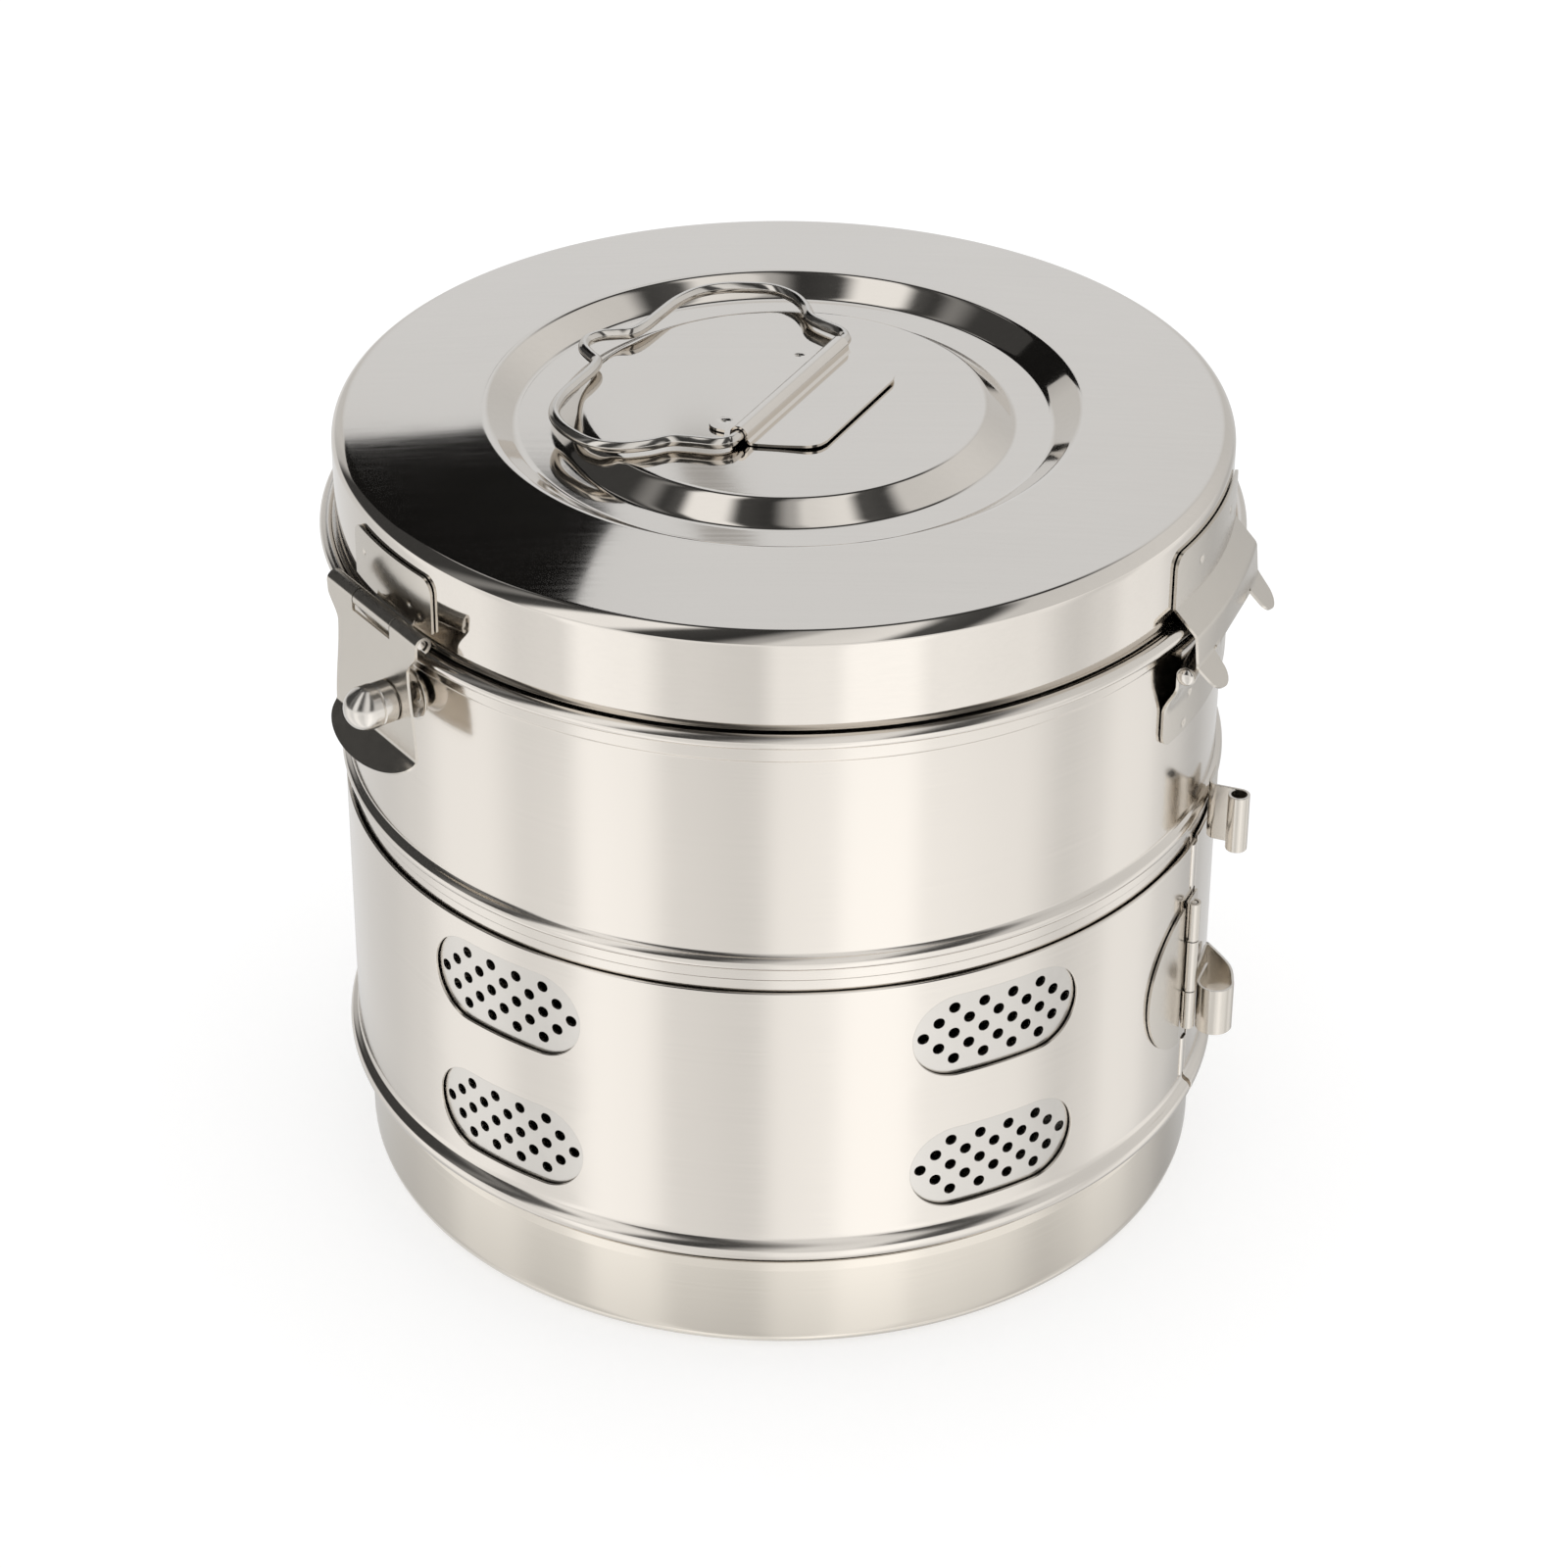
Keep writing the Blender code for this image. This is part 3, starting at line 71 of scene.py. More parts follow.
# %% Sizes of the drum
MM = 0.001
WALL, SHEET = 119.5, 0.9
PAN, PAN_TOP, PAN_CORNER = 117.6, 29.5, 6.0
BAND_FOOT, BAND_TOP = 33.7, 118.8
BAND_IN, BAND_OUT = 119.95, 120.7
BEAD_Z = 127.7
SHOULDER = 197.0
LID, LID_FOOT, LID_TOP, LID_EDGE, LID_FALL = 120.2, 197.6, 227.0, 4.0, 2.4
LID_PLATE = LID + 0.7
NECK = 115.0
RIM_RADIUS, RIM_SECTION = 122.5, 1.95
RIM_Z = SHOULDER - RIM_SECTION * math.sin(math.radians(45))
RIM_OUT = RIM_RADIUS + RIM_SECTION
VENT_FIRST, VENT_PITCH = 28.4, 66.0
VENT_ROWS = (57.6, 100.0)
SLOT_HALF, SLOT_RADIUS = 12.1, 12.7
HINGE_TURN, HINGE_Y, HINGE_Z = 69.0, 122.45, 184.2
LATCH_TURN, LATCH_Y, LATCH_Z = -54.8, 126.3, 203.8
CLASP_TURN, CLASP_SKIN, CLASP_Y = 65.4, 121.35, 122.9
CLASP_LOW, CLASP_HIGH = 61.3, 102.0
CLASP_Z = (CLASP_HIGH + CLASP_LOW) / 2
KNOB_X, KNOB_Z = 7.8, 182.2
print("lid top at", LID_TOP, "mm, widest bead", 2 * RIM_OUT, "mm across")

# %% [markdown]
# ## Meshes from arrays
#
# A surface is a grid of points. An edge that only one face uses is an open edge. One tool joins
# open edges to a new outline, which is how round holes get into square grids, and another
# closes two matching surfaces into a sheet with real thickness.

# %% Grids, open edges and sheets
def grid_quads(rows, columns, wrap=False, keep=None):
    """Each quad joins a point, the next one in its row, and the two above them.

    With wrap, the last column joins the first. keep marks the cells that are metal.
    """
    across = columns if wrap else columns - 1
    i, j = np.meshgrid(np.arange(rows - 1), np.arange(across), indexing="ij")
    k = (j + 1) % columns
    quads = np.stack([i * columns + j, i * columns + k, (i + 1) * columns + k, (i + 1) * columns + j], -1)
    return quads.reshape(-1, 4) if keep is None else quads[keep]


def open_edges(quads):
    """Directed edges whose opposite direction no other face uses."""
    start = quads.ravel().astype(np.int64)
    end = np.roll(quads, -1, axis=1).ravel().astype(np.int64)
    span = int(start.max()) + 1
    once = ~np.isin(start * span + end, end * span + start)
    return np.stack([start[once], end[once]], axis=1)


def grow(points, quads, edges, target):
    """Join every open edge to a copy of it at the target points, with one quad for each edge."""
    ends = np.unique(edges)
    number = np.full(len(points), -1, np.int64)
    number[ends] = len(points) + np.arange(len(ends))
    strip = np.column_stack([edges[:, 1], edges[:, 0], number[edges[:, 0]], number[edges[:, 1]]])
    grown = np.concatenate([points, target[ends]])
    return grown, np.concatenate([quads, strip]), number[edges]


def thick(outer, inner, quads):
    """A sheet: the inner copy is turned round, and a strip joins the two at each open edge."""
    count = len(outer)
    edges = open_edges(quads)
    strip = np.column_stack([edges[:, 1], edges[:, 0], edges[:, 0] + count, edges[:, 1] + count])
    return np.concatenate([outer, inner]), np.concatenate([quads, quads[:, ::-1] + count, strip])


def volume(points, quads):
    """Signed volume: the sum over faces of corner . (edge x edge) / 6, positive if faces look out."""
    a, b, c, d = (points[quads[:, k]] for k in range(4))
    return float(np.sum(a * np.cross(b, c)) + np.sum(a * np.cross(c, d))) / 6


print("mesh tools ready")

# %% [markdown]
# ## Curves and placing
#
# A pressed profile has no true corner: each one is an arc that touches both sides. Flat parts
# get a point just inside each end, so that smooth shading doesn't bend their mirror image.
# Turned parts carry a profile of radius and height round an axis.

# %% Profiles, arcs and placing
def arc(x, y, radius, start, end, steps):
    """Points at centre + radius * (cos, sin) for angles evenly spaced from start to end."""
    angle = np.radians(np.linspace(start, end, steps + 1))
    return np.column_stack([x + radius * np.cos(angle), y + radius * np.sin(angle)])


def rounded(corners, steps=8):
    """A line through corners of (x, y, radius), each replaced by an arc that touches both sides.

    The arc is a rational quadratic curve whose middle weight is the sine of half the corner.
    """
    spot = np.array([corner[:2] for corner in corners], float)
    share = np.linspace(0, 1, steps + 1)[:, None]
    line = [spot[:1]]
    for before, here, after, corner in zip(spot, spot[1:], spot[2:], corners[1:]):
        if corner[2] == 0:
            line.append(here[None])
            continue
        back = (before - here) / np.linalg.norm(before - here)
        ahead = (after - here) / np.linalg.norm(after - here)
        half = 0.5 * math.acos(np.clip(back @ ahead, -1, 1))
        reach = corner[2] / math.tan(half)
        near, middle, far = (1 - share) ** 2, 2 * math.sin(half) * share * (1 - share), share ** 2
        curve = (here + back * reach) * near + here * middle + (here + ahead * reach) * far
        line.append(curve / (near + middle + far))
    return np.concatenate(line + [spot[-1:]])


def held(line, hold=0.4):
    """Add points a little inside both ends of each long stretch of a line."""
    step = np.diff(line, axis=0)
    length = np.linalg.norm(step, axis=1)
    long = length > 4 * hold
    ahead = line[:-1][long] + step[long] * (hold / length[long])[:, None]
    behind = line[1:][long] - step[long] * (hold / length[long])[:, None]
    where = np.flatnonzero(long) + 1
    return np.insert(line, np.repeat(where, 2), np.stack([ahead, behind], 1).reshape(-1, 2), axis=0)


def smooth_step(share):
    """3s^2 - 2s^3, held between 0 and 1."""
    share = np.clip(share, 0.0, 1.0)
    return share * share * (3.0 - 2.0 * share)


def mix(start, end, share):
    return start + (end - start) * share


def lifted(line):
    """Widen a flat list of (out, up) pairs to two arrays that broadcast against columns."""
    return line[:, 0:1], line[:, 1:2]


def turned(profile, columns):
    """Carry (radius, reach) round an axis: three grids of radius * cos, radius * sin and reach."""
    angle = np.linspace(0, 2 * np.pi, columns, endpoint=False)
    radius, reach = lifted(profile)
    return np.broadcast_arrays(radius * np.cos(angle), radius * np.sin(angle), reach)


def turned_up(profile, columns=256):
    """Round +Z: x = r sin(a), y = -r cos(a)."""
    cos, sin, height = turned(profile, columns)
    return np.stack([sin, -cos, height], -1)


def turned_out(profile, along, distance, height, columns):
    """Round an axis that points out of the wall at the front."""
    cos, sin, reach = turned(profile, columns)
    return np.stack([along + cos, -(distance + reach), height + sin], -1)


def turned_along(profile, distance, height, columns=32):
    """Round an axis that runs along the wall at the front."""
    cos, sin, reach = turned(profile, columns)
    return np.stack([reach, cos - distance, height + sin], -1)


def around(radius, angle, height):
    """Points at an angle from the front, round +Z: x = r sin(a), y = -r cos(a)."""
    return np.stack(np.broadcast_arrays(radius * np.sin(angle), -radius * np.cos(angle), height), -1)


def to_azimuth(points, azimuth):
    """Turn points about +Z: x' = x cos - y sin, y' = x sin + y cos."""
    cos, sin = math.cos(math.radians(azimuth)), math.sin(math.radians(azimuth))
    x, y, z = points[..., 0], points[..., 1], points[..., 2]
    return np.stack([x * cos - y * sin, x * sin + y * cos, z], -1)


print("curve tools ready")

# %% [markdown]
# ## Steel
#
# Everything here is 18/8 stainless steel, and only its surface differs. It shows its
# surroundings, slightly warmed, so the base colour is pale and a little yellow, and roughness
# says how softly they show. Rolling and polishing leave fine streaks, drawn here as noise that
# is stretched along the direction of work, coarser than real ones, which wouldn't show. Drawn
# walls mirror softly, the brushed lid sharply, tumbled stampings duller, and wire glints.

# %% Colours and nodes
def linear(hex_colour):
    """sRGB hex to linear: c/12.92 below 0.04045, otherwise ((c + 0.055)/1.055)^2.4."""
    value = np.array([int(hex_colour[k:k + 2], 16) / 255 for k in (1, 3, 5)])
    return tuple(np.where(value <= 0.04045, value / 12.92, ((value + 0.055) / 1.055) ** 2.4)) + (1.0,)


def add_node(tree, kind, values=None, links=None, **settings):
    """Add a node with its settings, input values and links; a linked node gives its first output."""
    item = tree.nodes.new("ShaderNode" + kind)
    for key, value in settings.items():
        setattr(item, key, value)
    for key, value in (values or {}).items():
        item.inputs[key].default_value = value
    for key, source in (links or {}).items():
        tree.links.new(getattr(source, "outputs", [source])[0], item.inputs[key])
    return item


def compute(tree, operation, *terms):
    """A Math node whose terms are numbers, nodes or sockets, in the order of its inputs."""
    fixed = {k: term for k, term in enumerate(terms) if isinstance(term, float)}
    linked = {k: term for k, term in enumerate(terms) if k not in fixed}
    return add_node(tree, "Math", fixed, linked, operation=operation)


def steel(name, colour, rough, streaks, depth=0.012, spread=0.05, turn=0.0):
    """Stainless steel with streaks: streaks gives how many lines a metre holds along x, y and z.

    depth is the streaks' height in millimetres and spread is how much the roughness changes.
    """
    material = bpy.data.materials.new(name)
    material.use_nodes = True
    tree = material.node_tree
    shader = tree.nodes["Principled BSDF"]
    shader.inputs["Metallic"].default_value = 1.0
    place = add_node(tree, "TexCoord")
    lay = add_node(tree, "Mapping", {"Scale": streaks, "Rotation": (0, 0, math.radians(turn))},
                   {"Vector": place.outputs["Object"]})
    fine = add_node(tree, "TexNoise", {"Scale": 1.0, "Detail": 3.0, "Roughness": 0.6}, {"Vector": lay})
    broad = add_node(tree, "TexNoise", {"Scale": 26.0, "Detail": 2.0},
                     {"Vector": place.outputs["Object"]})
    both = compute(tree, "MULTIPLY_ADD", fine, 0.65, compute(tree, "MULTIPLY", broad, 0.35))
    dull = add_node(tree, "MapRange", {1: 0.3, 2: 0.7, 3: rough - spread, 4: rough + spread},
                    {0: both})
    pale, deep = linear(colour), tuple(0.93 * c for c in linear(colour)[:3]) + (1.0,)
    tint = add_node(tree, "Mix", {6: deep, 7: pale}, {0: both}, data_type="RGBA")
    bump = add_node(tree, "Bump", {"Strength": 1.0, "Distance": depth * MM}, {"Height": fine})
    tree.links.new(dull.outputs[0], shader.inputs["Roughness"])
    tree.links.new(tint.outputs[2], shader.inputs["Base Color"])
    tree.links.new(bump.outputs["Normal"], shader.inputs["Normal"])
    return material


DRAWN = steel("drawn_stainless_wall", "#E4DED6", 0.15, (6, 6, 1500), depth=0.008)
LID_STEEL = steel("brushed_stainless_lid", "#E4DED6", 0.06, (8, 900, 900), depth=0.0005, spread=0.02)
PAN_STEEL = steel("drawn_stainless_pan", "#E4DDD2", 0.16, (6, 6, 1500), depth=0.008)
SCREEN_STEEL = steel("perforated_stainless", "#DAD6D0", 0.22, (400, 400, 400), depth=0.004)
STAMPED = steel("tumbled_stainless_stampings", "#D8D2C9", 0.22, (300, 300, 300), depth=0.0012, spread=0.04)
POLISHED = steel("polished_stainless_knob", "#E2DDD6", 0.20, (300, 300, 300), depth=0.002, spread=0.03)
WIRE = steel("drawn_stainless_wire", "#DCD7D0", 0.10, (300, 300, 300), depth=0.001, spread=0.03)
print("steels:", [m.name for m in (DRAWN, LID_STEEL, PAN_STEEL, SCREEN_STEEL, STAMPED, POLISHED, WIRE)])

# %% [markdown]
# ## Putting a piece in place
#
# Points go into the mesh in metres, so every object stays at the origin. Merging doubles closes
# seams and poles. A Bevel of two short facets breaks each sheet's edge, because the thin bright
# line there makes metal look like metal.

# %% Pieces
def add_mesh(name, points, faces):
    """A new object in the scene from lists of points and faces."""
    mesh = bpy.data.meshes.new(name)
    mesh.from_pydata(points, [], faces)
    item = bpy.data.objects.new(name, mesh)
    bpy.context.scene.collection.objects.link(item)
    return item


def add_piece(name, points, quads, material, body, nodes=(), slot=None, azimuth=0.0, sheet=0.0,
              edge=0.0):
    """A named object from points and quads, riding on a body and standing for CAD nodes."""
    points = to_azimuth(np.asarray(points, float).reshape(-1, 3), azimuth) * MM
    used, quads = np.unique(quads, return_inverse=True)
    quads = quads.reshape(-1, 4)
    points = points[used]
    if sheet == 0.0 and volume(points, quads) < 0:
        quads = quads[:, ::-1]
    piece = add_mesh(name, points.tolist(), quads.tolist())
    weld = piece.modifiers.new("merge doubles", "WELD")
    weld.merge_threshold = 0.002 * MM
    bpy.context.view_layer.objects.active = piece
    with bpy.context.temp_override(object=piece, active_object=piece):
        bpy.ops.object.modifier_apply(modifier=weld.name)
    piece.data.shade_smooth()
    if sheet:
        solid = piece.modifiers.new("sheet", "SOLIDIFY")
        solid.thickness = sheet * MM
        solid.offset = 0.0
        solid.use_quality_normals = True
    if edge:
        bevel = piece.modifiers.new("broken edges", "BEVEL")
        bevel.width = edge * MM
        bevel.segments = 2
        bevel.limit_method = "ANGLE"
        bevel.angle_limit = math.radians(50)
        bevel.harden_normals = True
    piece.data.materials.append(material)
    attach(piece, body)
    if nodes:
        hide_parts(*nodes)
    print(name, "faces", len(piece.data.polygons))


def round_grid(points):
    """Points and their quads, where the last column joins the first."""
    return points, grid_quads(*points.shape[:2], wrap=True)


def add_stamping(name, points, body, node, azimuth, keep=None, quads=None, sheet=0.8):
    """A stamped sheet on the grid of its points, or on given quads; a fifth of its edge is broken."""
    quads = grid_quads(*points.shape[:2], keep=keep) if quads is None else quads
    add_piece(name, points, quads, STAMPED, body, [node], "stamped_steel", azimuth, sheet, 0.2 * sheet)


# %% [markdown]
# ## Base pan
#
# The pan is one spun dish: flat floor, rounded foot and an upright side with a broken top edge.
# Its profile starts and ends on the axis, so the turned surface is closed.

# %% Base pan
pan_line = rounded([(0, SHEET, 0), (PAN - SHEET, SHEET, PAN_CORNER - SHEET), (PAN - SHEET, PAN_TOP, 0.2),
                    (PAN - 0.4, PAN_TOP, 0.2), (PAN, PAN_TOP - 2.6, 0.8), (PAN, 0, PAN_CORNER), (0, 0, 0)])
pan_line = held(pan_line)
add_piece("base_pan_skin", *round_grid(turned_up(pan_line)), PAN_STEEL, "drum", ["base_pan"], "satin_steel")

# %% [markdown]
# ## Wall with its windows
#
# The wall is drawn in one piece: neck, rolled rim, straight wall, a pressed bead and the foot
# that stands in the pan. Its columns are 1.5 degrees apart and start at a vent. Cells round each
# vent are left out, and rings of quads lead from that square hole to the slot's own outline.

# %% A shell with slots through it
BLOCK_RISE = 16
MM_PER_DEGREE = 2.09


def to_slot(along, up, half, radius):
    """Nearest point of a slot: from the middle line's nearest point, go out by the radius."""
    middle = np.clip(along, -half, half)
    reach = np.hypot(along - middle, up)
    return middle + (along - middle) / reach * radius, up / reach * radius


def round_shell(angles, outer, inner, half, radius, block, wrap):
    """Carry an outer and an inner profile round the axis, with a slot at every vent.

    A point keeps its angle, its outer radius and height, and its inner radius and height. Cells
    less than block degrees and BLOCK_RISE mm from a vent's middle make room for the rings.
    """
    rows, columns = len(outer), len(angles)
    points = np.stack(np.broadcast_arrays(angles, *lifted(outer), *lifted(inner)), -1)
    vent_angles = VENT_FIRST - VENT_PITCH * np.arange(5)
    vents = np.array([(a, z) for a in vent_angles for z in VENT_ROWS])

    def nearest(angle, height):
        """Angle and height measured from the closest vent."""
        off = (angle[..., None] - vents[:, 0] + 180) % 360 - 180
        rise = height[..., None] - vents[:, 1]
        pick = np.argmin(np.hypot(off * MM_PER_DEGREE, rise), -1)[..., None]
        return np.take_along_axis(off, pick, -1)[..., 0], np.take_along_axis(rise, pick, -1)[..., 0], pick

    turn = np.diff(angles, append=angles[:1] + 360 if wrap else angles[-1:])
    cell_angle = (angles + turn / 2)[:columns if wrap else columns - 1]
    cell_height = (outer[:-1, 1] + outer[1:, 1]) / 2
    off, rise, _ = nearest(*np.meshgrid(cell_angle, cell_height))
    keep = ~((np.abs(off) < block) & (np.abs(rise) < BLOCK_RISE))
    quads = grid_quads(rows, columns, wrap, keep)
    points = points.reshape(-1, 5)
    edges = open_edges(quads)
    off, rise, _ = nearest(points[:, 0], points[:, 2])
    in_block = (np.abs(off) < block + 0.1) & (np.abs(rise) < BLOCK_RISE + 0.1)
    edges = edges[in_block[edges].all(1)]
    # The rings stand at 45, 85 and 100 % of the way, so each goes its part of what is left.
    for part in (0.45, (0.85 - 0.45) / 0.55, 1.0):
        off, rise, pick = nearest(points[:, 0], points[:, 2])
        centre = vents[pick[:, 0]]
        arm = np.radians(off) * WALL
        with np.errstate(divide="ignore", invalid="ignore"):
            x, z = to_slot(arm, rise, half, radius)
        target = points.copy()
        target[:, 0] = centre[:, 0] + np.degrees(mix(arm, x, part) / WALL)
        target[:, 2] = centre[:, 1] + mix(rise, z, part)
        target[:, 4] = target[:, 2]
        points, quads, edges = grow(points, quads, edges, target)
    angle = np.radians(points[:, 0])
    skins = [around(points[:, k], angle, points[:, k + 1]) for k in (1, 3)]
    return thick(*skins, quads)


SLOT_LEVELS = np.concatenate([np.linspace(z - BLOCK_RISE, z + BLOCK_RISE, 17) for z in VENT_ROWS])
print("rows of cells beside each slot:", len(SLOT_LEVELS))

# %% Wall and vent screens
neck_line = held(rounded([(NECK, SHOULDER + 16, 0), (NECK + 0.45, SHOULDER, 0.8),
                          (RIM_RADIUS - 1.4, SHOULDER, 0)]))
rim_line = arc(RIM_RADIUS, RIM_Z, RIM_SECTION, 132, -84, 22)
bead_line = [(WALL + 2.0 * math.sqrt(1 - s * s), BEAD_Z + 2.1 * s)
             for s in np.cos(np.linspace(0.25, 2.55, 13))]
skirt_line = held(rounded([(WALL + 0.6, RIM_Z - 2.4, 0), (WALL + 0.6, 188.5, 0.5), (WALL, 187.9, 0.5),
                           (WALL, BEAD_Z + 2.6, 0.5)]))
collar_line = rounded([(WALL + 0.4, BEAD_Z - 2.0, 0), (WALL + 0.4, 122.6, 0.3), (WALL, 122.2, 0.3),
                       (WALL, 118.6, 0)])
foot_line = rounded([(WALL, 35.5, 0), (WALL, 33.4, 1.5), (116.4, 29.8, 1.5), (116.4, 6.9, 0)])
straight = np.column_stack([np.full(34, WALL), SLOT_LEVELS[::-1]])
lower = np.concatenate([skirt_line, bead_line, collar_line, straight, foot_line])
outer = np.concatenate([neck_line, rim_line, lower])
rim_inner = np.linspace((NECK - 0.4, SHOULDER - SHEET), (WALL - SHEET, SHOULDER - 3.2), len(rim_line))
neck_inner = np.column_stack([np.full(len(neck_line), NECK - SHEET),
                              np.maximum(neck_line[:, 1], SHOULDER - 0.3)])
lower_inner = np.column_stack([np.minimum(lower[:, 0], WALL) - SHEET,
                               np.minimum(lower[:, 1], SHOULDER - 3.4)])
inner = np.concatenate([neck_inner, rim_inner, lower_inner])
wall_angles = VENT_FIRST + np.arange(0, 360, 1.5)
add_piece("drum_wall", *round_shell(wall_angles, outer, inner, SLOT_HALF, 15.0, 13.5, True), DRAWN,
          "drum", ["drum_shell"], "satin_steel", edge=0.15)


def screen():
    """Perforated sheet: square cells, every hole a ring of quads, and a border led to the slot.

    Holes stand in five staggered rows of four, five, six, five and four, so in half-pitch cells
    every second cell of a row has one.
    """
    pitch, rise, fine, hole_radius = 4.3, 4.0, 4, 1.6
    columns, rows = 11 * fine + 1, 5 * fine + 1
    x, z = np.meshgrid(np.linspace(-5.5, 5.5, columns) * pitch, np.linspace(-2.5, 2.5, rows) * rise)
    points = np.stack([x, z], -1).reshape(-1, 2)
    column, row = np.meshgrid(np.arange(11 * fine) // fine - 5, np.arange(5 * fine) // fine - 2)
    last = np.array([3, 4, 5, 4, 3])[row + 2]
    hole = (np.abs(column) <= last) & ((column - last) % 2 == 0)
    beyond = (np.abs(row) == 2) & (np.abs(column) == 5)
    quads = grid_quads(rows, columns, keep=~hole & ~beyond)
    before = open_edges(grid_quads(rows, columns, keep=hole))
    ahead = points[before[:, 1]] - points[before[:, 0]]
    to_left = ahead[:, ::-1] * (-1, 1) / 2
    cell = np.rint((points[before].mean(1) + to_left) / (pitch, rise)).astype(int)
    places, turn = np.unique(np.column_stack([before.ravel(), np.repeat(cell, 2, axis=0)]), axis=0,
                             return_inverse=True)
    corner, middle = points[places[:, 0]], places[:, 1:] * (pitch, rise)
    arm = corner - middle
    circle = middle + arm / np.linalg.norm(arm, axis=1)[:, None] * hole_radius
    for share in (0.55, 1.0):
        after = len(points) + turn.reshape(-1, 2)
        points = np.concatenate([points, mix(corner, circle, share)])
        quads = np.concatenate([quads, np.column_stack([before, after[:, ::-1]])])
        before = after
    border = open_edges(quads)
    border = border[(border < rows * columns).all(1)]
    with np.errstate(divide="ignore", invalid="ignore"):
        goal = np.stack(to_slot(points[:, 0], points[:, 1], SLOT_HALF, 14.7), -1)
    rim = np.unique(border)
    points, quads, border = grow(points, quads, border, mix(points, goal, 0.5))
    points, quads, border = grow(points, quads, border, np.concatenate([goal, goal[rim]]))
    return points, quads


flat_screen, screen_quads = screen()
for number in range(10):
    azimuth = VENT_FIRST - VENT_PITCH * (number // 2)
    height = VENT_ROWS[number % 2]
    angle = flat_screen[:, 0] / (WALL - 0.45)
    sides = [around(r, angle, height + flat_screen[:, 1]) for r in (WALL, WALL - SHEET)]
    add_piece(f"screen_{number + 1}", *thick(*sides, screen_quads), SCREEN_STEEL, "drum",
              [f"vent_screen_{number + 1}"], "satin_steel", azimuth=azimuth, edge=0.1)

# %% [markdown]
# ## Turning sleeve
#
# A sleeve with the same slots turns round the wall and opens or shuts the vents. Its foot is
# rolled outwards for grip, and it is open at one seam, beside which it is folded into a hem.

# %% Sleeve and its hem
SEAM = 67.3 + math.degrees((3.4 + 1.0) / 2 / WALL)
slot = math.degrees(0.8 / WALL)
band_angles = np.concatenate([[SEAM + slot], VENT_FIRST + np.arange(42.0, 399.0), [SEAM - slot + 360]])
roll = [(BAND_OUT + 2.4 * max(math.sin(t), 0.0) ** 0.8, 36.3 + 2.55 * math.cos(t))
        for t in np.linspace(0.25, 2.9, 15)]
band_outer = np.concatenate([
    rounded([(BAND_OUT - 0.25, BAND_TOP, 0), (BAND_OUT, BAND_TOP - 0.3, 0.2),
             (BAND_OUT, BAND_TOP - 1, 0)], 3),
    np.column_stack([np.full(34, BAND_OUT), SLOT_LEVELS[::-1]]), [(BAND_OUT, 39.6)], roll])
band_inner = np.column_stack([np.full(len(band_outer), BAND_IN), band_outer[:, 1]])
sleeve = round_shell(band_angles, band_outer, band_inner, SLOT_HALF, SLOT_RADIUS, 14, False)
add_piece("turning_sleeve", *sleeve, DRAWN, "band", ["vent_band"], "satin_steel", edge=0.2)


def wrapped_strip(radius, left, right, low, high, proud, columns=9, rows=40):
    """A strip that lies on a cylinder and falls to it at both long edges, as a fold does.

    Its height over the cylinder is proud * (1 - s^8), where s runs from -1 to 1 across it.
    """
    s = np.linspace(-1, 1, columns)
    s = np.sign(s) * np.abs(s) ** 0.5
    along = mix(left, right, (s + 1) / 2)
    lift = radius + proud * (1 - s ** 8)
    return around(lift, along / radius, np.linspace(low, high, rows)[:, None])


for name, low, high in (("seam_hem_upper", 104.0, 118.2), ("seam_hem_lower", 42.2, 54.6)):
    skin = wrapped_strip(BAND_OUT, -1.7, 1.7, low, high, 0.5).reshape(-1, 3)
    back = wrapped_strip(BAND_OUT - 0.3, -1.7, 1.7, low, high, 0.0).reshape(-1, 3)
    add_piece(name, *thick(skin, back, grid_quads(40, 9)), DRAWN, "band", azimuth=67.3, edge=0.1)

# %% [markdown]
# ## Lid
#
# The lid is one pressing: a level middle, a sunk ring that stiffens it, a rim that falls a
# little, a rounded edge and a deep skirt. The ring's walls face all round the room and are the
# brightest and darkest places on the drum, so their arcs get many facets.

# %% Lid shell
rim_start = LID - LID_EDGE
groove = [(54.0, 0.0, 4.0), (61.4, -5.0, 4.0), (71.8, -5.0, 4.0), (79.2, 0.0, 4.0)]
rim_top = LID_TOP - LID_FALL
slope = math.degrees(math.atan(LID_FALL / (rim_start - groove[-1][0])))
groove_top = [(r, LID_TOP + d, f) for r, d, f in groove]
top = rounded([(0, LID_TOP, 0)] + groove_top + [(rim_start, rim_top, 0)], 10)
edge_arc = arc(rim_start, rim_top - LID_EDGE, LID_EDGE, 90 - slope, 0, 20)
foot = rounded([(LID, LID_FOOT, 0.2), (LID - SHEET, LID_FOOT, 0.2)], 3)
inner_edge = arc(rim_start, rim_top - LID_EDGE, LID_EDGE - SHEET, 0, 90 - slope, 10)
groove_under = [(r, LID_TOP - SHEET + d, f) for r, d, f in groove[::-1]]
below = rounded([(rim_start, rim_top - SHEET, 0)] + groove_under + [(0, LID_TOP - SHEET, 0)], 10)
lid_line = held(np.concatenate([top[:-1], edge_arc, foot, inner_edge, below[1:]]))
add_piece("lid_pressing", *round_grid(turned_up(lid_line, 288)), LID_STEEL, "lid", ["lid_shell"],
          "satin_steel")

# %% [markdown]
# ## Stamped plates
#
# Each plate is a bent sheet: a path gives how far out and how high it runs, and columns give
# where it is along the wall. Solidify gives it its thickness. A spot weld shows as a small round
# dent, which is pushed in with a bell curve.

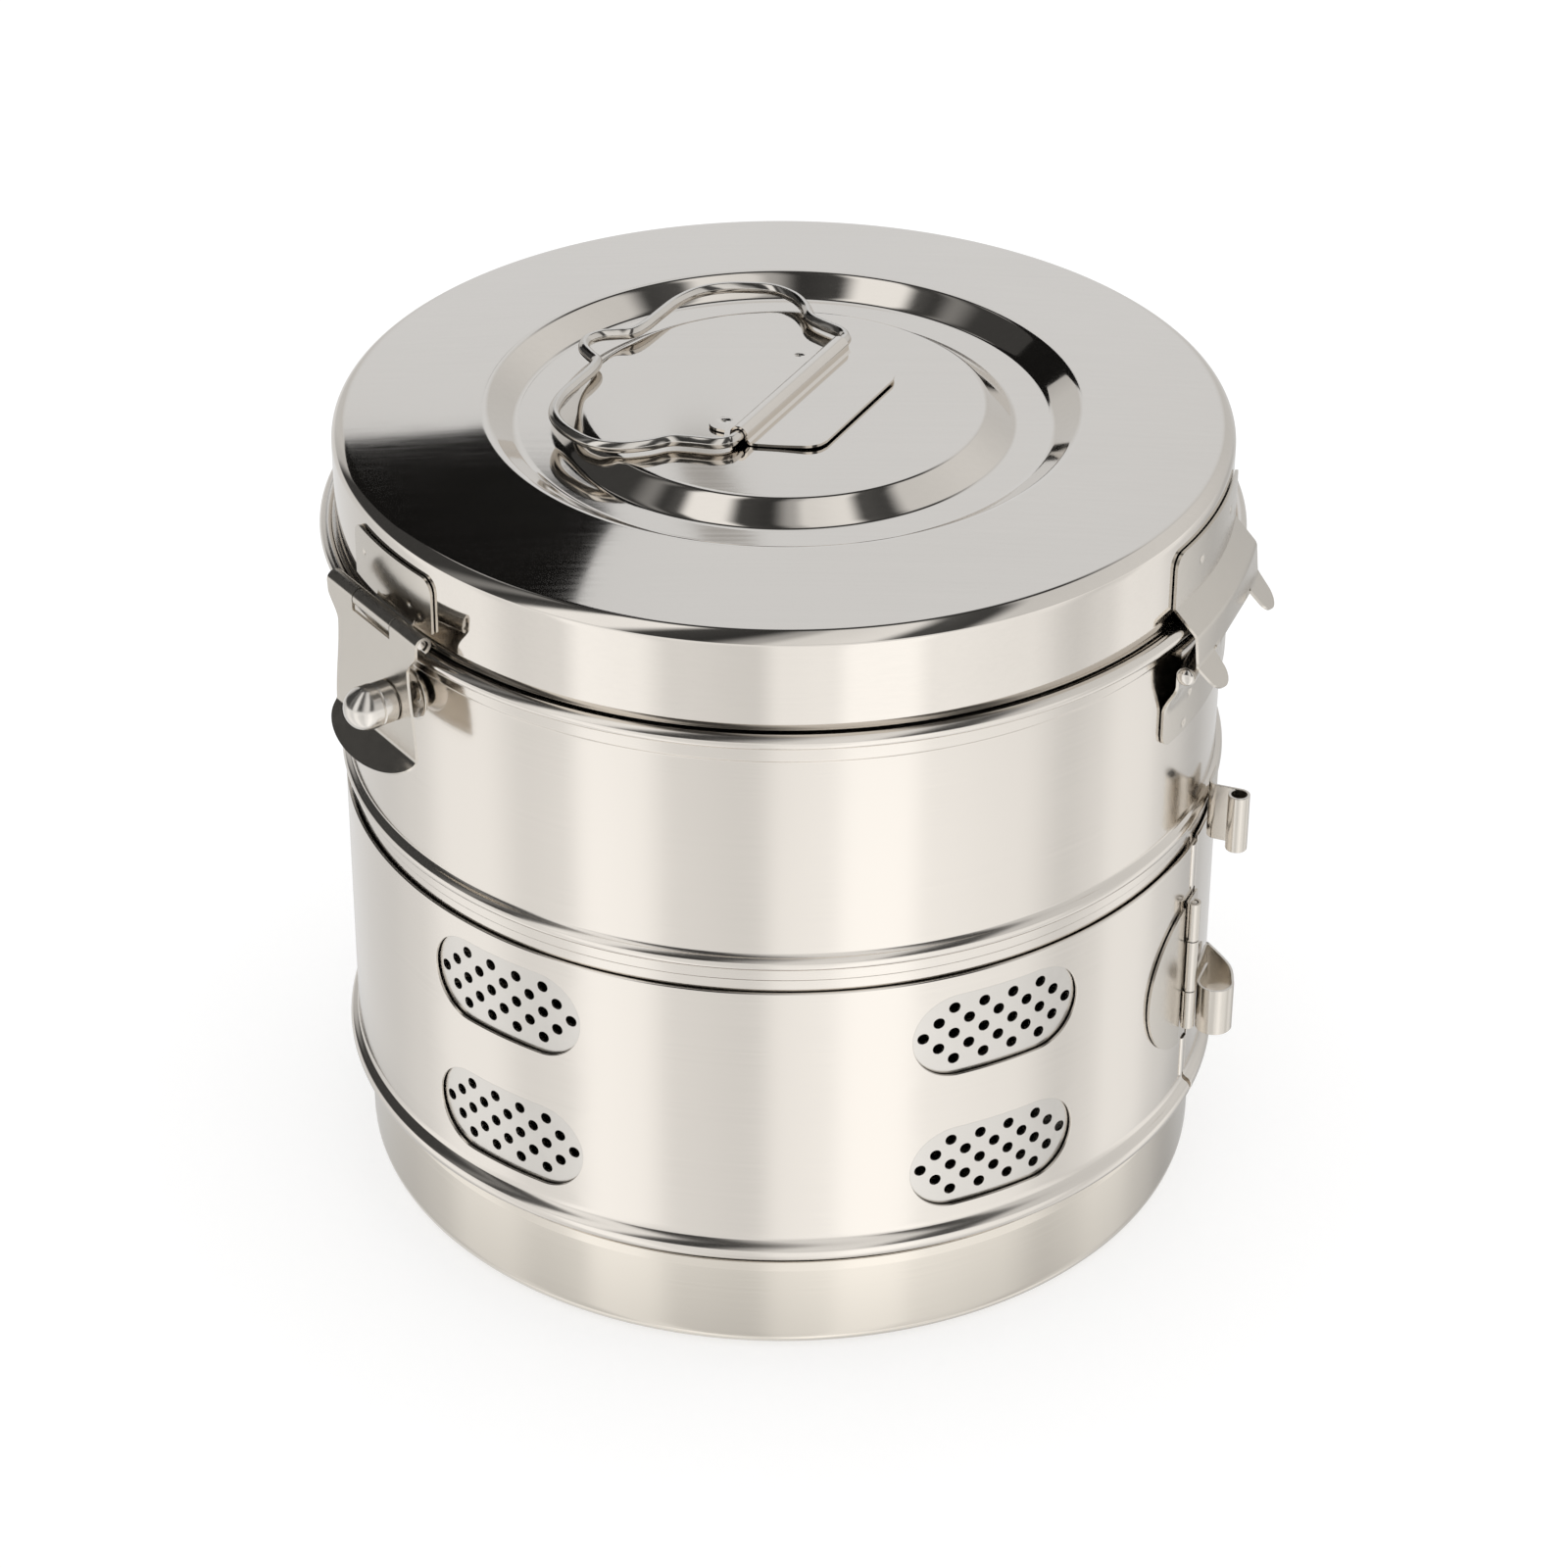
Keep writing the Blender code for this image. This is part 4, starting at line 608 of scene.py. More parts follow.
# %% Helpers for bent sheets
def on_round(radius, along):
    """How far out a cylinder is, this far along the wall: sqrt(radius^2 - along^2)."""
    return np.sqrt(radius * radius - along * along)


def corner_drop(along, half, corner):
    """How far a rounded corner falls below its edge: corner - sqrt(corner^2 - inside^2)."""
    inside = np.clip(np.abs(along) - (half - corner), 0, corner)
    return corner - np.sqrt(corner * corner - inside * inside)


def columns_through(stops, step=0.7):
    """Columns through every stop, evenly spaced between two of them."""
    parts = [np.linspace(a, b, max(int(round((b - a) / step)), 1) + 1)[:-1]
             for a, b in zip(stops, stops[1:])]
    return np.concatenate(parts + [stops[-1:]])


def dented(along, height, welds, radius=1.0, depth=0.4):
    """Depth of spot-weld dents: depth * exp(-(distance / radius)^4), the deepest that is there."""
    dent = np.zeros(np.broadcast(along, height).shape)
    for x, z in welds:
        dent = np.maximum(dent, depth * np.exp(-(np.hypot(along - x, height - z) / radius) ** 4))
    return dent


def middles(stops):
    """The middle of every stretch between two stops."""
    return (stops[:-1] + stops[1:]) / 2


def all_metal(points):
    """True for every cell of a grid of points."""
    return np.ones((points.shape[0] - 1, points.shape[1] - 1), bool)


def sheet_points(along, out, up):
    """Grid of points at the front: x along the wall, y = -out, z up."""
    return np.stack(np.broadcast_arrays(along, -out, up), -1)


print("sheet helpers ready")

# %% Hinge plate on the body
x = columns_through([-28.6, -27.8, -24.6, -15.5, 15.5, 24.6, 27.8, 28.6], 0.35)
share = np.linspace(0, 1, 60)[:, None]
low = HINGE_Z - 23.2 + corner_drop(x, 28.6, 4.0)
level = mix(low, HINGE_Z - 3.3, share)
bend = smooth_step((share - 0.45) / 0.55)
out = mix(on_round(120.2, x), HINGE_Y - 2.2, bend)
out = out - dented(x, level, [(-14.5, 171.5), (-17.5, 163.5), (14.5, 171.5)])
plate = sheet_points(x, out, level)
curl = sheet_points(x, *lifted(arc(HINGE_Y, HINGE_Z, 2.2, 180, -75, 26)))
points = np.concatenate([plate, curl])
keep = all_metal(points)
keep[len(plate) - 1:, np.abs(middles(x)) < 15.5] = False
add_stamping("body_hinge_stamping", points, "drum", "hinge_body_plate", HINGE_TURN, keep)

# %% Hinge plate on the lid
x = columns_through([-27.0, -26.2, -23.0, -17.0, -15.2, 15.2, 17.0, 23.0, 26.2, 27.0], 0.35)
share = np.linspace(1, 0, 46)[:, None]
top_edge = LID_TOP - 9.2 - corner_drop(x, 27.0, 4.0)
level = mix(LID_TOP - 24.5, top_edge, share)
out = on_round(LID_PLATE, x) - dented(x, level, [(-13.0, 210.5), (12.5, 212.0), (21.5, 206.5)])
upper = sheet_points(x, out, level)
reach = RIM_OUT + 1.5 + 0.4
path = rounded([(LID_PLATE, 202.5, 0), (LID_PLATE, 202.3, 0.1), (reach, 195.4, 2.6), (reach, 187.35, 0)], 10)
path = np.concatenate([path[:-1], np.linspace(path[-2], path[-1], 8)[1:]])
travel = np.concatenate([[0], np.cumsum(np.linalg.norm(np.diff(path, axis=0), axis=1))])
flat = (0.5 * travel / travel[-1])[:, None]
flare = sheet_points(x, mix(on_round(path[:, 0:1], x), path[:, 0:1], flat), path[:, 1:2])
t = np.linspace(0, 1, 9)[1:-1]
neck = np.column_stack([mix(reach, HINGE_Y + 2.2, smooth_step(t)), mix(187.35, HINGE_Z, t)])
tongue = np.concatenate([neck, arc(HINGE_Y, HINGE_Z, 2.2, 0, -262, 26)])
s = np.linspace(0, 1, len(tongue) + 1)[1:] ** 0.75
lean = np.radians(40) * smooth_step(s / 0.16)
step = np.diff(np.concatenate([[0], s])) * 9.6
ear_out, ear_down = np.cumsum(step * np.sin(lean)), np.cumsum(step * np.cos(lean))
waist = (1.12 - 0.3 * s) * np.sqrt(np.clip(1 - (np.clip(s - 0.55, 0, 1) / 0.452) ** 2.4, 0, 1))
along = np.where(np.abs(x) > 15.3, np.sign(x) * (22.0 + (np.abs(x) - 22.0) * waist[:, None]), x)
ear = sheet_points(along, mix(on_round(reach, along), reach, 0.5) + ear_out[:, None],
                   187.35 - ear_down[:, None])
curl = sheet_points(x, *lifted(tongue))
tail = np.where((np.abs(x) > 15.3)[None, :, None], ear, curl)
points = np.concatenate([upper, flare[1:], tail])
shared = len(upper) + len(flare) - 2
centre = np.abs(middles(x))
keep = all_metal(points)
keep[shared:, (centre > 15.2) & (centre < 17.0)] = False
add_stamping("lid_hinge_stamping", points, "lid", "hinge_lid_plate", HINGE_TURN, keep)

# %% [markdown]
# ## Pins
#
# A pin is turned from rod. Its profile starts and ends on its axis, with a small radius at each
# end, and the hinge pin has two low domed heads.

# %% Pins
def pin_line(radius, reach, dome=0.3):
    """Half outline of a rod of this radius from -reach to reach, with rounded ends."""
    return rounded([(0, -reach, 0), (radius, -reach, dome), (radius, reach, dome), (0, reach, 0)], 6)


def dome_line(head, rod, reach, dome):
    """Rod with a low dome on each end: the dome's height is dome * sqrt(1 - (r / head)^2)."""
    radius = head * np.sin(np.linspace(0, np.pi / 2, 9))
    cap = np.column_stack([radius, reach + dome * np.sqrt(1 - (radius / head) ** 2)])
    return np.concatenate([cap, [(rod, reach), (rod, -reach)], cap[::-1] * (1, -1)])


for name, points, body, node, azimuth in (
        ("hinge_rod", turned_along(dome_line(2.4, 1.5, 28.9, 1.2), HINGE_Y, HINGE_Z), "drum", "hinge_pin",
         HINGE_TURN),
        ("latch_rod", turned_along(pin_line(1.3, 21.2), LATCH_Y, LATCH_Z), "lid", "latch_pin", LATCH_TURN),
        ("clasp_rod", turned_up(pin_line(0.9, 20.35, 0.25), 24) + (0, -CLASP_Y, CLASP_Z), "band",
         "clasp_pin", CLASP_TURN)):
    add_piece(name, *round_grid(points), WIRE, body, [node], "steel_wire", azimuth)

# %% [markdown]
# ## Latch
#
# A plate on the lid's skirt is rolled round the latch pin at its middle, and the hasp is rolled
# round the same pin on both sides. The hasp has a waist and a half-round finger lip. A round
# hole under the knob lets the keeper's stud into it.

# %% Latch plate
x = columns_through([-23.0, -22.0, -19.0, -9.0, 9.0, 12.0, 15.0, 16.0], 0.35)
share = np.linspace(1, 0, 46)[:, None]
foot_level = np.where(np.abs(x) <= 9.01, LID_TOP - 22.6, LID_TOP - 24.5)
level = mix(foot_level, LID_TOP - 9.2 - corner_drop(x + 3.5, 19.5, 4.0), share)
out = on_round(LID_PLATE, x) - dented(x, level, [(-16.5, 211.5), (7.0, 207.5), (11.5, 206.0)])
upper = sheet_points(x, out, level)
bend = 2.6
start = float(on_round(LID_PLATE, np.array(9.0)))
path = np.concatenate([arc(start + bend, 204.4, bend, 190, 270, 8),
                       arc(LATCH_Y, LATCH_Z, 2.0, -90, 165, 26)])
points = np.concatenate([upper, sheet_points(x, *lifted(path))])
keep = all_metal(points)
keep[len(upper) - 1:, np.abs(middles(x)) > 9.0] = False
add_stamping("latch_stamping", points, "lid", "latch_lid_plate", LATCH_TURN, keep)


# %% Hasp
def hasp_half(drop):
    """Half width this far below the pin: 21.8 at the barrel, 17 at the waist, 19.8 at the foot."""
    upper = mix(21.8, 17.0, smooth_step((drop - 2.0) / 7.5))
    return np.where(drop < 9.5, upper, mix(17.0, 19.8, smooth_step((drop - 9.5) / 25.5)))


knuckle = 9.3 / 21.8
s = columns_through([-1.0, -knuckle, knuckle, 1.0], 0.03)
face = LATCH_Y + 2.0
lip = np.sin(np.linspace(np.pi / 2 * 0.96, 0.12, 18))
drops = np.concatenate([np.linspace(34.2, 12.0, 38), np.linspace(11.4, 3.1, 14)])
lean = math.radians(51)
fold = [(face + 9.3 * q * math.sin(lean), 168.8 - 9.3 * q * math.cos(lean)) for q in lip]
upright = np.column_stack([np.full(len(drops), face), LATCH_Z - drops])
path = np.concatenate([fold, [(face + 0.25, 168.8)], upright, arc(LATCH_Y, LATCH_Z, 2.0, 0, 255, 26)])
half = np.concatenate([19.8 * np.sqrt(1 - lip ** 2), [19.8], hasp_half(drops), np.full(27, 21.8)])
points = sheet_points(s * half[:, None], *lifted(path))
keep = all_metal(points)
keep[len(lip) + len(drops):, np.abs(middles(s)) < knuckle] = False
cell = (points[:-1, :-1] + points[1:, 1:]) / 2
keep &= ~((np.abs(cell[..., 0] - KNOB_X) < 5.2) & (np.abs(cell[..., 2] - KNOB_Z) < 5.2))
quads = grid_quads(*points.shape[:2], keep=keep)
points = points.reshape(-1, 3)
edges = open_edges(quads)
arm = points - (KNOB_X, -face, KNOB_Z)
reach = np.hypot(arm[:, 0], arm[:, 2])
edges = edges[(reach < 9.0)[edges].all(1)]
ring = points.copy()
scale = 4.2 / np.maximum(reach, 0.01)
ring[:, 0], ring[:, 2] = KNOB_X + arm[:, 0] * scale, KNOB_Z + arm[:, 2] * scale
points, quads, edges = grow(points, quads, edges, ring)
add_stamping("hasp_stamping", points, "hasp", "hasp_plate", LATCH_TURN, quads=quads)

# %% [markdown]
# ## Knob, keeper and snap ring
#
# The knob is turned from bar: a base, a fine groove and a polished dome. The keeper is a dished
# washer on the wall with a short stud, and a ring of spring wire sits in the knob.

# %% Knob, keeper and snap ring
seat = 0.7
joint = seat + 4.0
dome = arc(0.0, 7.4, 5.9, 90, 0, 18)
side = rounded([(5.9, 7.4, 0), (5.9, joint + 0.35, 0.25), (5.3, joint, 0.1), (5.7, joint - 0.35, 0.15),
                (5.7, seat, 0.3), (4.4, seat, 0.2), (4.4, seat + 4.8, 0.3), (0, seat + 7.0, 0)], 5)
knob_line = held(np.concatenate([dome, side[1:]]), 0.25)
back = WALL + 0.3
nose = face - 0.4 - 0.4 - back
keeper_line = np.concatenate([
    arc(0, nose - 2.9, 2.9, 90, 0, 10),
    rounded([(2.9, nose - 2.9, 0), (2.3, nose - 3.8, 0.4), (2.3, 0.8, 0.5), (4.65, 0.8, 0.8),
             (6.7, 2.8, 0.1), (7.5, 2.5, 0.2), (5.0, 0, 0.6), (0, 0, 0)], 6)[1:]])
ring_line = arc(3.8, seat + 2.4, 0.3, 0, 360, 12)
for name, profile, distance, columns, metal, body, node, slot in (
        ("knob_turning", knob_line, face, 64, POLISHED, "hasp", "hasp_knob", "bright_steel"),
        ("keeper_dish", keeper_line, back, 48, POLISHED, "drum", "latch_keeper", "bright_steel"),
        ("snap_ring", ring_line, face, 48, WIRE, "hasp", "snap_spring", "steel_wire")):
    points = turned_out(profile, KNOB_X, distance, KNOB_Z, columns)
    add_piece(name, *round_grid(points), metal, body, [node], slot, LATCH_TURN)

# %% [markdown]
# ## Clasp
#
# A half-round plate is welded to the sleeve beside its seam and rolled round an upright pin. A
# sprung leaf rolls round the same pin above and below it and ends in a teardrop loop.

# %% Clasp plate
def on_skin(along, up, radius=CLASP_SKIN):
    """Wrap flat coordinates round a cylinder: the angle is the length over the radius."""
    return around(radius, along / radius, up)


def smooth_path(points, steps):
    """A smooth line through points (Catmull-Rom), with so many steps between two of them."""
    points = np.asarray(points, float)
    near = np.concatenate([points[:1], points, points[-1:]])
    a, b, c, d = (near[k:len(near) - 3 + k, None] for k in range(4))
    t = np.linspace(0, 1, steps, endpoint=False)[None, :, None]
    line = 0.5 * (2 * b + (c - a) * t + (2 * a - 5 * b + 4 * c - d) * t ** 2
                  + (3 * b - a - 3 * c + d) * t ** 3)
    return np.concatenate([line.reshape(-1, points.shape[1]), points[-1:]])


plate_z, plate_r = CLASP_Z - 2.6, 22.4
tab_low, tab_high = (73.6 - plate_z) / plate_r, (89.7 - plate_z) / plate_r
v = columns_through([-1.0, tab_low, tab_high, 1.0], 0.05)
along = -plate_r * np.cos(np.linspace(0.06, np.arccos(0.14), 30))[:, None]
half = np.sqrt(plate_r ** 2 - along ** 2)
disc = on_skin(along, plate_z + half * v)
curl = arc(0, CLASP_Y, 1.55, -90, 200, 24)
points = np.concatenate([disc, sheet_points(*lifted(curl), plate_z + plate_r * v)])
v_mid = middles(v)
in_tab = (v_mid > tab_low) & (v_mid < tab_high)
keep = all_metal(points)
keep[29:, ~in_tab] = False
add_stamping("clasp_disc", points, "band", "clasp_plate", CLASP_TURN, keep, sheet=0.7)

# %% Clasp leaf with its loop
z = columns_through([58.1, CLASP_LOW, 72.6, 73.3, 90.0, CLASP_HIGH], 1.0)
mid = middles(z)
barrel = arc(0, CLASP_Y, 1.55, 200, -90, 24) * (-1, 1)
flat_x = np.array([1.3, 2.6, 3.9, 5.2, 6.5, 9, 12, 15, 18, 20.5, 23.1])
flat_part = CLASP_SKIN * np.column_stack([np.sin(flat_x / CLASP_SKIN), np.cos(flat_x / CLASP_SKIN)])
crease, centre = CLASP_SKIN + 0.84, (4.7 + 1.55 + 1.4, CLASP_SKIN + 1.9 + 4.7)
loop = [flat_part[-1], (24.15, math.sqrt((CLASP_SKIN + 0.4) ** 2 - 24.15 ** 2)),
        (24.3, math.sqrt(crease ** 2 - 24.3 ** 2) + 0.1),
        (mix(24.5, centre[0], 0.45), mix(crease, centre[1] + 4.7, 0.6))]
loop_end = (mix(centre[0], 24.5, 0.45), float(on_round(centre[1] - 4.7, np.array(15.2))) + 0.3)
loop = np.concatenate([loop, arc(*centre, 4.7, 62, 262, 7), [loop_end]])
path = np.concatenate([barrel, flat_part[:-1], smooth_path(loop, 6)])
points = sheet_points(*lifted(path), z)
row = np.arange(len(points) - 1)[:, None]
ends = ((mid > 90.0) | ((mid > CLASP_LOW) & (mid < 73.3)))[None, :]
leaf = (mid > CLASP_LOW)[None, :]
in_loop = (mid < 72.6)[None, :]
keep = np.where(row < 25, ends, np.where(row < 29, leaf, in_loop))
add_stamping("clasp_spring_leaf", points, "clasp", "clasp_leaf", CLASP_TURN, keep, sheet=0.7)

# %% [markdown]
# ## Seal eye
#
# A small bracket stands on the middle bead. Its sheet is bent outwards and curled to a tube that
# a seal wire passes through.

# %% Seal eye
skin = WALL + 2.0 + 0.3 + 0.4
eye_y = WALL + 10.4 + 2.55 * 0.6
base = [(skin * math.sin(a / skin), skin * math.cos(a / skin)) for a in (9.5, 8.2, 6.9, 5.7, 4.5, 3.4)]
path = np.concatenate([base, arc(2.4, skin + 2.4, 2.4, -90, -180, 8),
                       arc(-2.55, eye_y, 2.55, 0, 320, 28)])
level = np.linspace(BEAD_Z + 6.8 - 17.0, BEAD_Z + 6.8, 12)
points = sheet_points(*lifted(path), level)
add_stamping("seal_bracket", points, "drum", "seal_eye", 69.7)

# %% [markdown]
# ## Bail and saddle
#
# The saddle is one sheet: a welded strip, a roll over the wire and a leaf on the other side.
# The bail is a single wire, bent in its own plane. A tube follows it: each ring stands square to
# the path, whose direction is the difference of its neighbours.

# %% Saddle
def to_plateau(points):
    """From the saddle's own frame, turned by 63 degrees and moved on the lid, to the drum's."""
    return to_azimuth(points, 63.0) + (1.7, 2.1, 0.0)


wire, roll = 1.6, 1.6 + 0.3 + 0.35
flat_z, bail_z, corner = LID_TOP + 0.3 + 0.35, LID_TOP + 0.3 + 2.1, 4.0
s = np.sin(np.linspace(-np.pi / 2, np.pi / 2, 91))
strip_y = np.concatenate([12.0 - corner * (1 - np.cos(np.linspace(0.15, np.pi / 2, 12))),
                          np.linspace(7.0, 4.2, 8)])
strip_half = 26.5 - corner_drop(corner - (12.0 - strip_y), corner, corner) * (12.0 - strip_y < corner)
rounding = rounded([(4.2, flat_z, 0), (roll + 0.9, flat_z, 0.7), (roll + 0.12, bail_z - 1.0, 0.6),
                    (roll, bail_z, 0)], 5)
over = np.concatenate([rounding[1:], arc(0, bail_z, roll, 0, 180, 28)[1:-1],
                       (rounding * (-1, 1))[::-1][:-1]])
r = np.linspace(0, 1, 30)[1:]
leaf_y = -mix(4.2, 20.8, r)
back = np.clip(20.8 + leaf_y, 0, corner)
leaf_half = mix(29.6, 23.5, r) - (corner - np.sqrt(corner ** 2 - (corner - back) ** 2)) * 0.98
leaf_z = flat_z + 0.35 * smooth_step((r - 0.3) / 0.7)
y = np.concatenate([strip_y, over[:, 0], leaf_y])
level = np.concatenate([np.full(len(strip_y), flat_z), over[:, 1], leaf_z])[:, None]
half = np.concatenate([strip_half, np.full(len(over), 29.6), leaf_half])
half[len(strip_y) - 4:len(strip_y)] = mix(26.5, 29.6, smooth_step(np.linspace(0.3, 1, 4)))
x = s * half[:, None]
dents = dented(x, y[:, None] + 0 * x, [(21.5, 8.6), (-21.5, 8.6)], 0.75, 0.5)
points = to_plateau(np.stack([x, y[:, None] + 0 * x, level - dents], -1))
add_piece("saddle_stamping", points, grid_quads(*points.shape[:2]), LID_STEEL, "lid", ["handle_saddle"],
          "stamped_steel", sheet=0.7, edge=0.15)

# %% Bail
reach, root, wide = 61.8, 33.5, 51.5
shares = np.array([(0.06, 0.71), (0.16, 0.745), (0.235, 0.785), (0.30, 0.88), (0.39, 0.965), (0.51, 1.0),
                   (0.64, 0.95), (0.735, 0.875), (0.80, 0.775), (0.835, 0.63), (0.842, 0.47),
                   (0.845, 0.29), (0.865, 0.19), (0.915, 0.145), (0.975, 0.085), (1.0, 0.0)])
half_bail = np.concatenate([[(0.6, 0), (root * 0.5, 0), (root * 0.93, 0), (root * 1.02, reach * 0.015)],
                            shares[:, ::-1] * (wide, reach)])
line = smooth_path(np.concatenate([half_bail, (half_bail * (-1, 1))[::-1][1:]]), 8)


def tube(line, radius, sides=28):
    """Rings round a flat path: centre + radius * (cos * sideways + sin * up), closed at both ends."""
    ahead = np.gradient(line, axis=0)
    ahead /= np.linalg.norm(ahead, axis=1)[:, None]
    line = np.concatenate([line[:1], line, line[-1:]])
    ahead = np.concatenate([ahead[:1], ahead, ahead[-1:]])
    size = np.full(len(line), radius)
    size[[0, -1]] = 0.0
    side = np.column_stack([-ahead[:, 1], ahead[:, 0]])
    angle = np.linspace(0, 2 * np.pi, sides, endpoint=False)
    spread = size[:, None] * np.cos(angle)
    return np.stack([line[:, 0:1] + side[:, 0:1] * spread, line[:, 1:2] + side[:, 1:2] * spread,
                     size[:, None] * np.sin(angle)], -1)


bail = to_plateau(tube(line, wire)) + (0, 0, bail_z)
add_piece("wire_bail", *round_grid(bail), WIRE, "bail", ["bail_handle"], "steel_wire")

# %% [markdown]
# ## Studio
#
# Steel shows its surroundings, so the room is built for what it mirrors, while matt things and
# the camera see plain white. A mirrored ray is sorted by how the steel that sent it faces: its
# direction, plus the direction towards the front and 32 degrees up, points along that steel's
# normal. Level steel mirrors a pale back wall. Steeper steel, as in a bead or the lid's sunk
# ring, mirrors upright strips of light and dark. Upright steel mirrors the table.

# %% Ramps and empty trees
def ramp(tree, factor, stops, mode="LINEAR"):
    """A colour ramp through (position, tone) stops; a tone is one linear grey or three values."""
    item = add_node(tree, "ValToRGB", links={"Fac": factor})
    item.color_ramp.interpolation = mode
    while len(item.color_ramp.elements) < len(stops):
        item.color_ramp.elements.new(0.5)
    for element, (position, grey) in zip(item.color_ramp.elements, stops):
        element.position = position
        element.color = (*np.broadcast_to(grey, 3).tolist(), 1.0)
    return item


def empty_tree(block):
    """Turn on the nodes of a material or a world, and clear away the ones it comes with."""
    block.use_nodes = True
    block.node_tree.nodes.clear()
    return block.node_tree


DARK, PALE, BACK = 0.045, 0.95, (0.79, 0.81, 0.84)
FRONT_OUT, FRONT_UP = math.cos(math.radians(32)), math.sin(math.radians(32))
STRIPS = [(-90, 0.65), (-80, 0.55), (-73, 0.05), (-46, 0.05), (-39, 0.24), (-34, 0.05), (-30, 0.08),
          (-26, 1.05), (-17, 1.05), (-12, 0.06), (-4, 0.04), (2, 0.45), (6, 0.85), (17, 0.95),
          (22, 0.08), (29, 0.06), (35, 0.72), (60, 0.78), (90, 0.65)]
AROUND = [(-180, 0.7), (-160, 0.7), (-127, 0.66), (-111, 0.74), (-97, 0.95), (-84, 0.96), (-70, 0.79),
          (-59, 0.83), (-51, 1.09), (-38, 1.05), (-27, 0.8), (-7, 0.74), (0, 0.97), (12, 1.0), (18, 1.17),
          (32, 1.17), (39, 0.99), (64, 0.92), (80, 0.7), (89, 0.78), (98, 0.92), (108, 0.9), (121, 0.7),
          (138, 0.5), (155, 0.6), (180, 0.7)]
PEAK = max(grey for azimuth, grey in AROUND)
print("strips:", len(STRIPS), "tones round the table:", len(AROUND))

# %% The way the mirroring steel faces
world = bpy.data.worlds.new("studio")
bpy.context.scene.world = world
tree = empty_tree(world)
direction = add_node(tree, "TexCoord")
parts = add_node(tree, "SeparateXYZ", links={0: direction.outputs["Generated"]})
out = compute(tree, "SUBTRACT", FRONT_OUT, parts.outputs["Y"])
rise = compute(tree, "ADD", parts.outputs["Z"], FRONT_UP)
flat = add_node(tree, "CombineXYZ", links={0: parts.outputs["X"], 1: out})
length = add_node(tree, "VectorMath", links={0: flat}, operation="LENGTH")
facing = add_node(tree, "MapRange", {1: -0.3, 2: 0.0}, {0: out})
run = compute(tree, "MULTIPLY", length.outputs["Value"], facing)
tip = compute(tree, "ARCTAN2", rise, run)
turn = compute(tree, "ARCTAN2", parts.outputs["X"], out)
slant = add_node(tree, "MapRange", {2: math.pi / 2, 3: 0.195, 4: -0.119}, {0: tip})
shifted = compute(tree, "ADD", turn, slant)
level = add_node(tree, "MapRange", {2: math.pi / 2}, {0: tip})
across = add_node(tree, "MapRange", {1: -math.pi / 2, 2: math.pi / 2}, {0: shifted})
behind = compute(tree, "MULTIPLY", parts.outputs["Y"], -1.0)
compass = compute(tree, "ARCTAN2", parts.outputs["X"], behind)
round_table = add_node(tree, "MapRange", {1: -math.pi, 2: math.pi}, {0: compass})
print("towards the camera:", round(FRONT_OUT, 3), "out and", round(FRONT_UP, 3), "up")

# %% Tones of the room and of the table
front = ramp(tree, across, [(0.16, 0.0), (0.25, 1.0), (0.75, 1.0), (0.84, 0.0)])
room = ramp(tree, level, [(0.21, PALE), (0.24, DARK), (0.89, DARK), (0.92, BACK)])
side = ramp(tree, level, [(0.30, PALE), (0.34, 0.60), (0.80, 0.66), (0.92, BACK)])
steep = ramp(tree, level, [(0.21, 0.0), (0.24, 1.0), (0.79, 1.0), (0.82, 0.0)])
lamps = ramp(tree, across, [((w + 90) / 180, grey) for w, grey in STRIPS], "EASE")
tone = ramp(tree, round_table, [((a + 180) / 360, grey / PEAK) for a, grey in AROUND], "EASE")
table_tone = add_node(tree, "VectorMath", {3: 1.15 * PEAK}, {0: tone}, operation="SCALE")
low = add_node(tree, "MapRange", {1: -0.12, 2: -0.02, 3: 1.0, 4: 0.0}, {0: parts.outputs["Z"]})
roof = add_node(tree, "Mix", {}, {0: front, 6: side, 7: room}, data_type="RGBA")
above = add_node(tree, "Mix", {}, {0: steep, 6: roof.outputs[2], 7: lamps}, data_type="RGBA")
sky = add_node(tree, "Mix", {}, {0: low, 6: above.outputs[2], 7: table_tone}, data_type="RGBA")
ray = add_node(tree, "LightPath")
mirrored = add_node(tree, "Background", {}, {"Color": sky.outputs[2]})
plain = add_node(tree, "Background", {"Color": (1, 1, 1, 1)})
either = add_node(tree, "MixShader", links={0: ray.outputs["Is Glossy Ray"], 1: plain, 2: mirrored})
add_node(tree, "OutputWorld", links={"Surface": either})
print("nodes in the world:", len(tree.nodes))

# %% [markdown]
# The table is white paper that keeps the drum's shadow. Mirrored rays pass through it to the
# world's lower half, whose tones run round the drum as a ramp over the compass. A see-through
# ring round the foot dims those rays where the drum shades the table. Two cards hang behind the
# drum for the dark patch that the photograph shows on the lid's rim.

# %% Table
def stage_piece(name, points, faces, material):
    """An object that belongs to the stage; its points are in metres."""
    item = add_mesh(name, points, faces)
    item.data.materials.append(material)
    item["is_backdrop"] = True
    return item


paper = bpy.data.materials.new("white_paper_table")
tree = empty_tree(paper)
matt = add_node(tree, "BsdfDiffuse", {"Color": (0.56, 0.56, 0.56, 1)})
glow = add_node(tree, "Emission", {"Color": (1, 1, 1, 1), "Strength": 0.53})
lit = add_node(tree, "AddShader", links={0: matt, 1: glow})
add_node(tree, "OutputMaterial", links={"Surface": lit})
table = stage_piece("table", [(-4, -4, 0), (4, -4, 0), (4, 4, 0), (-4, 4, 0)], [(0, 1, 2, 3)], paper)
table.visible_glossy = False
print("table:", table.name)

# %% Shade ring and dark cards, seen only in mirrors
def only_mirrored(item):
    item.visible_camera = item.visible_diffuse = item.visible_shadow = False
    item.visible_volume_scatter = False


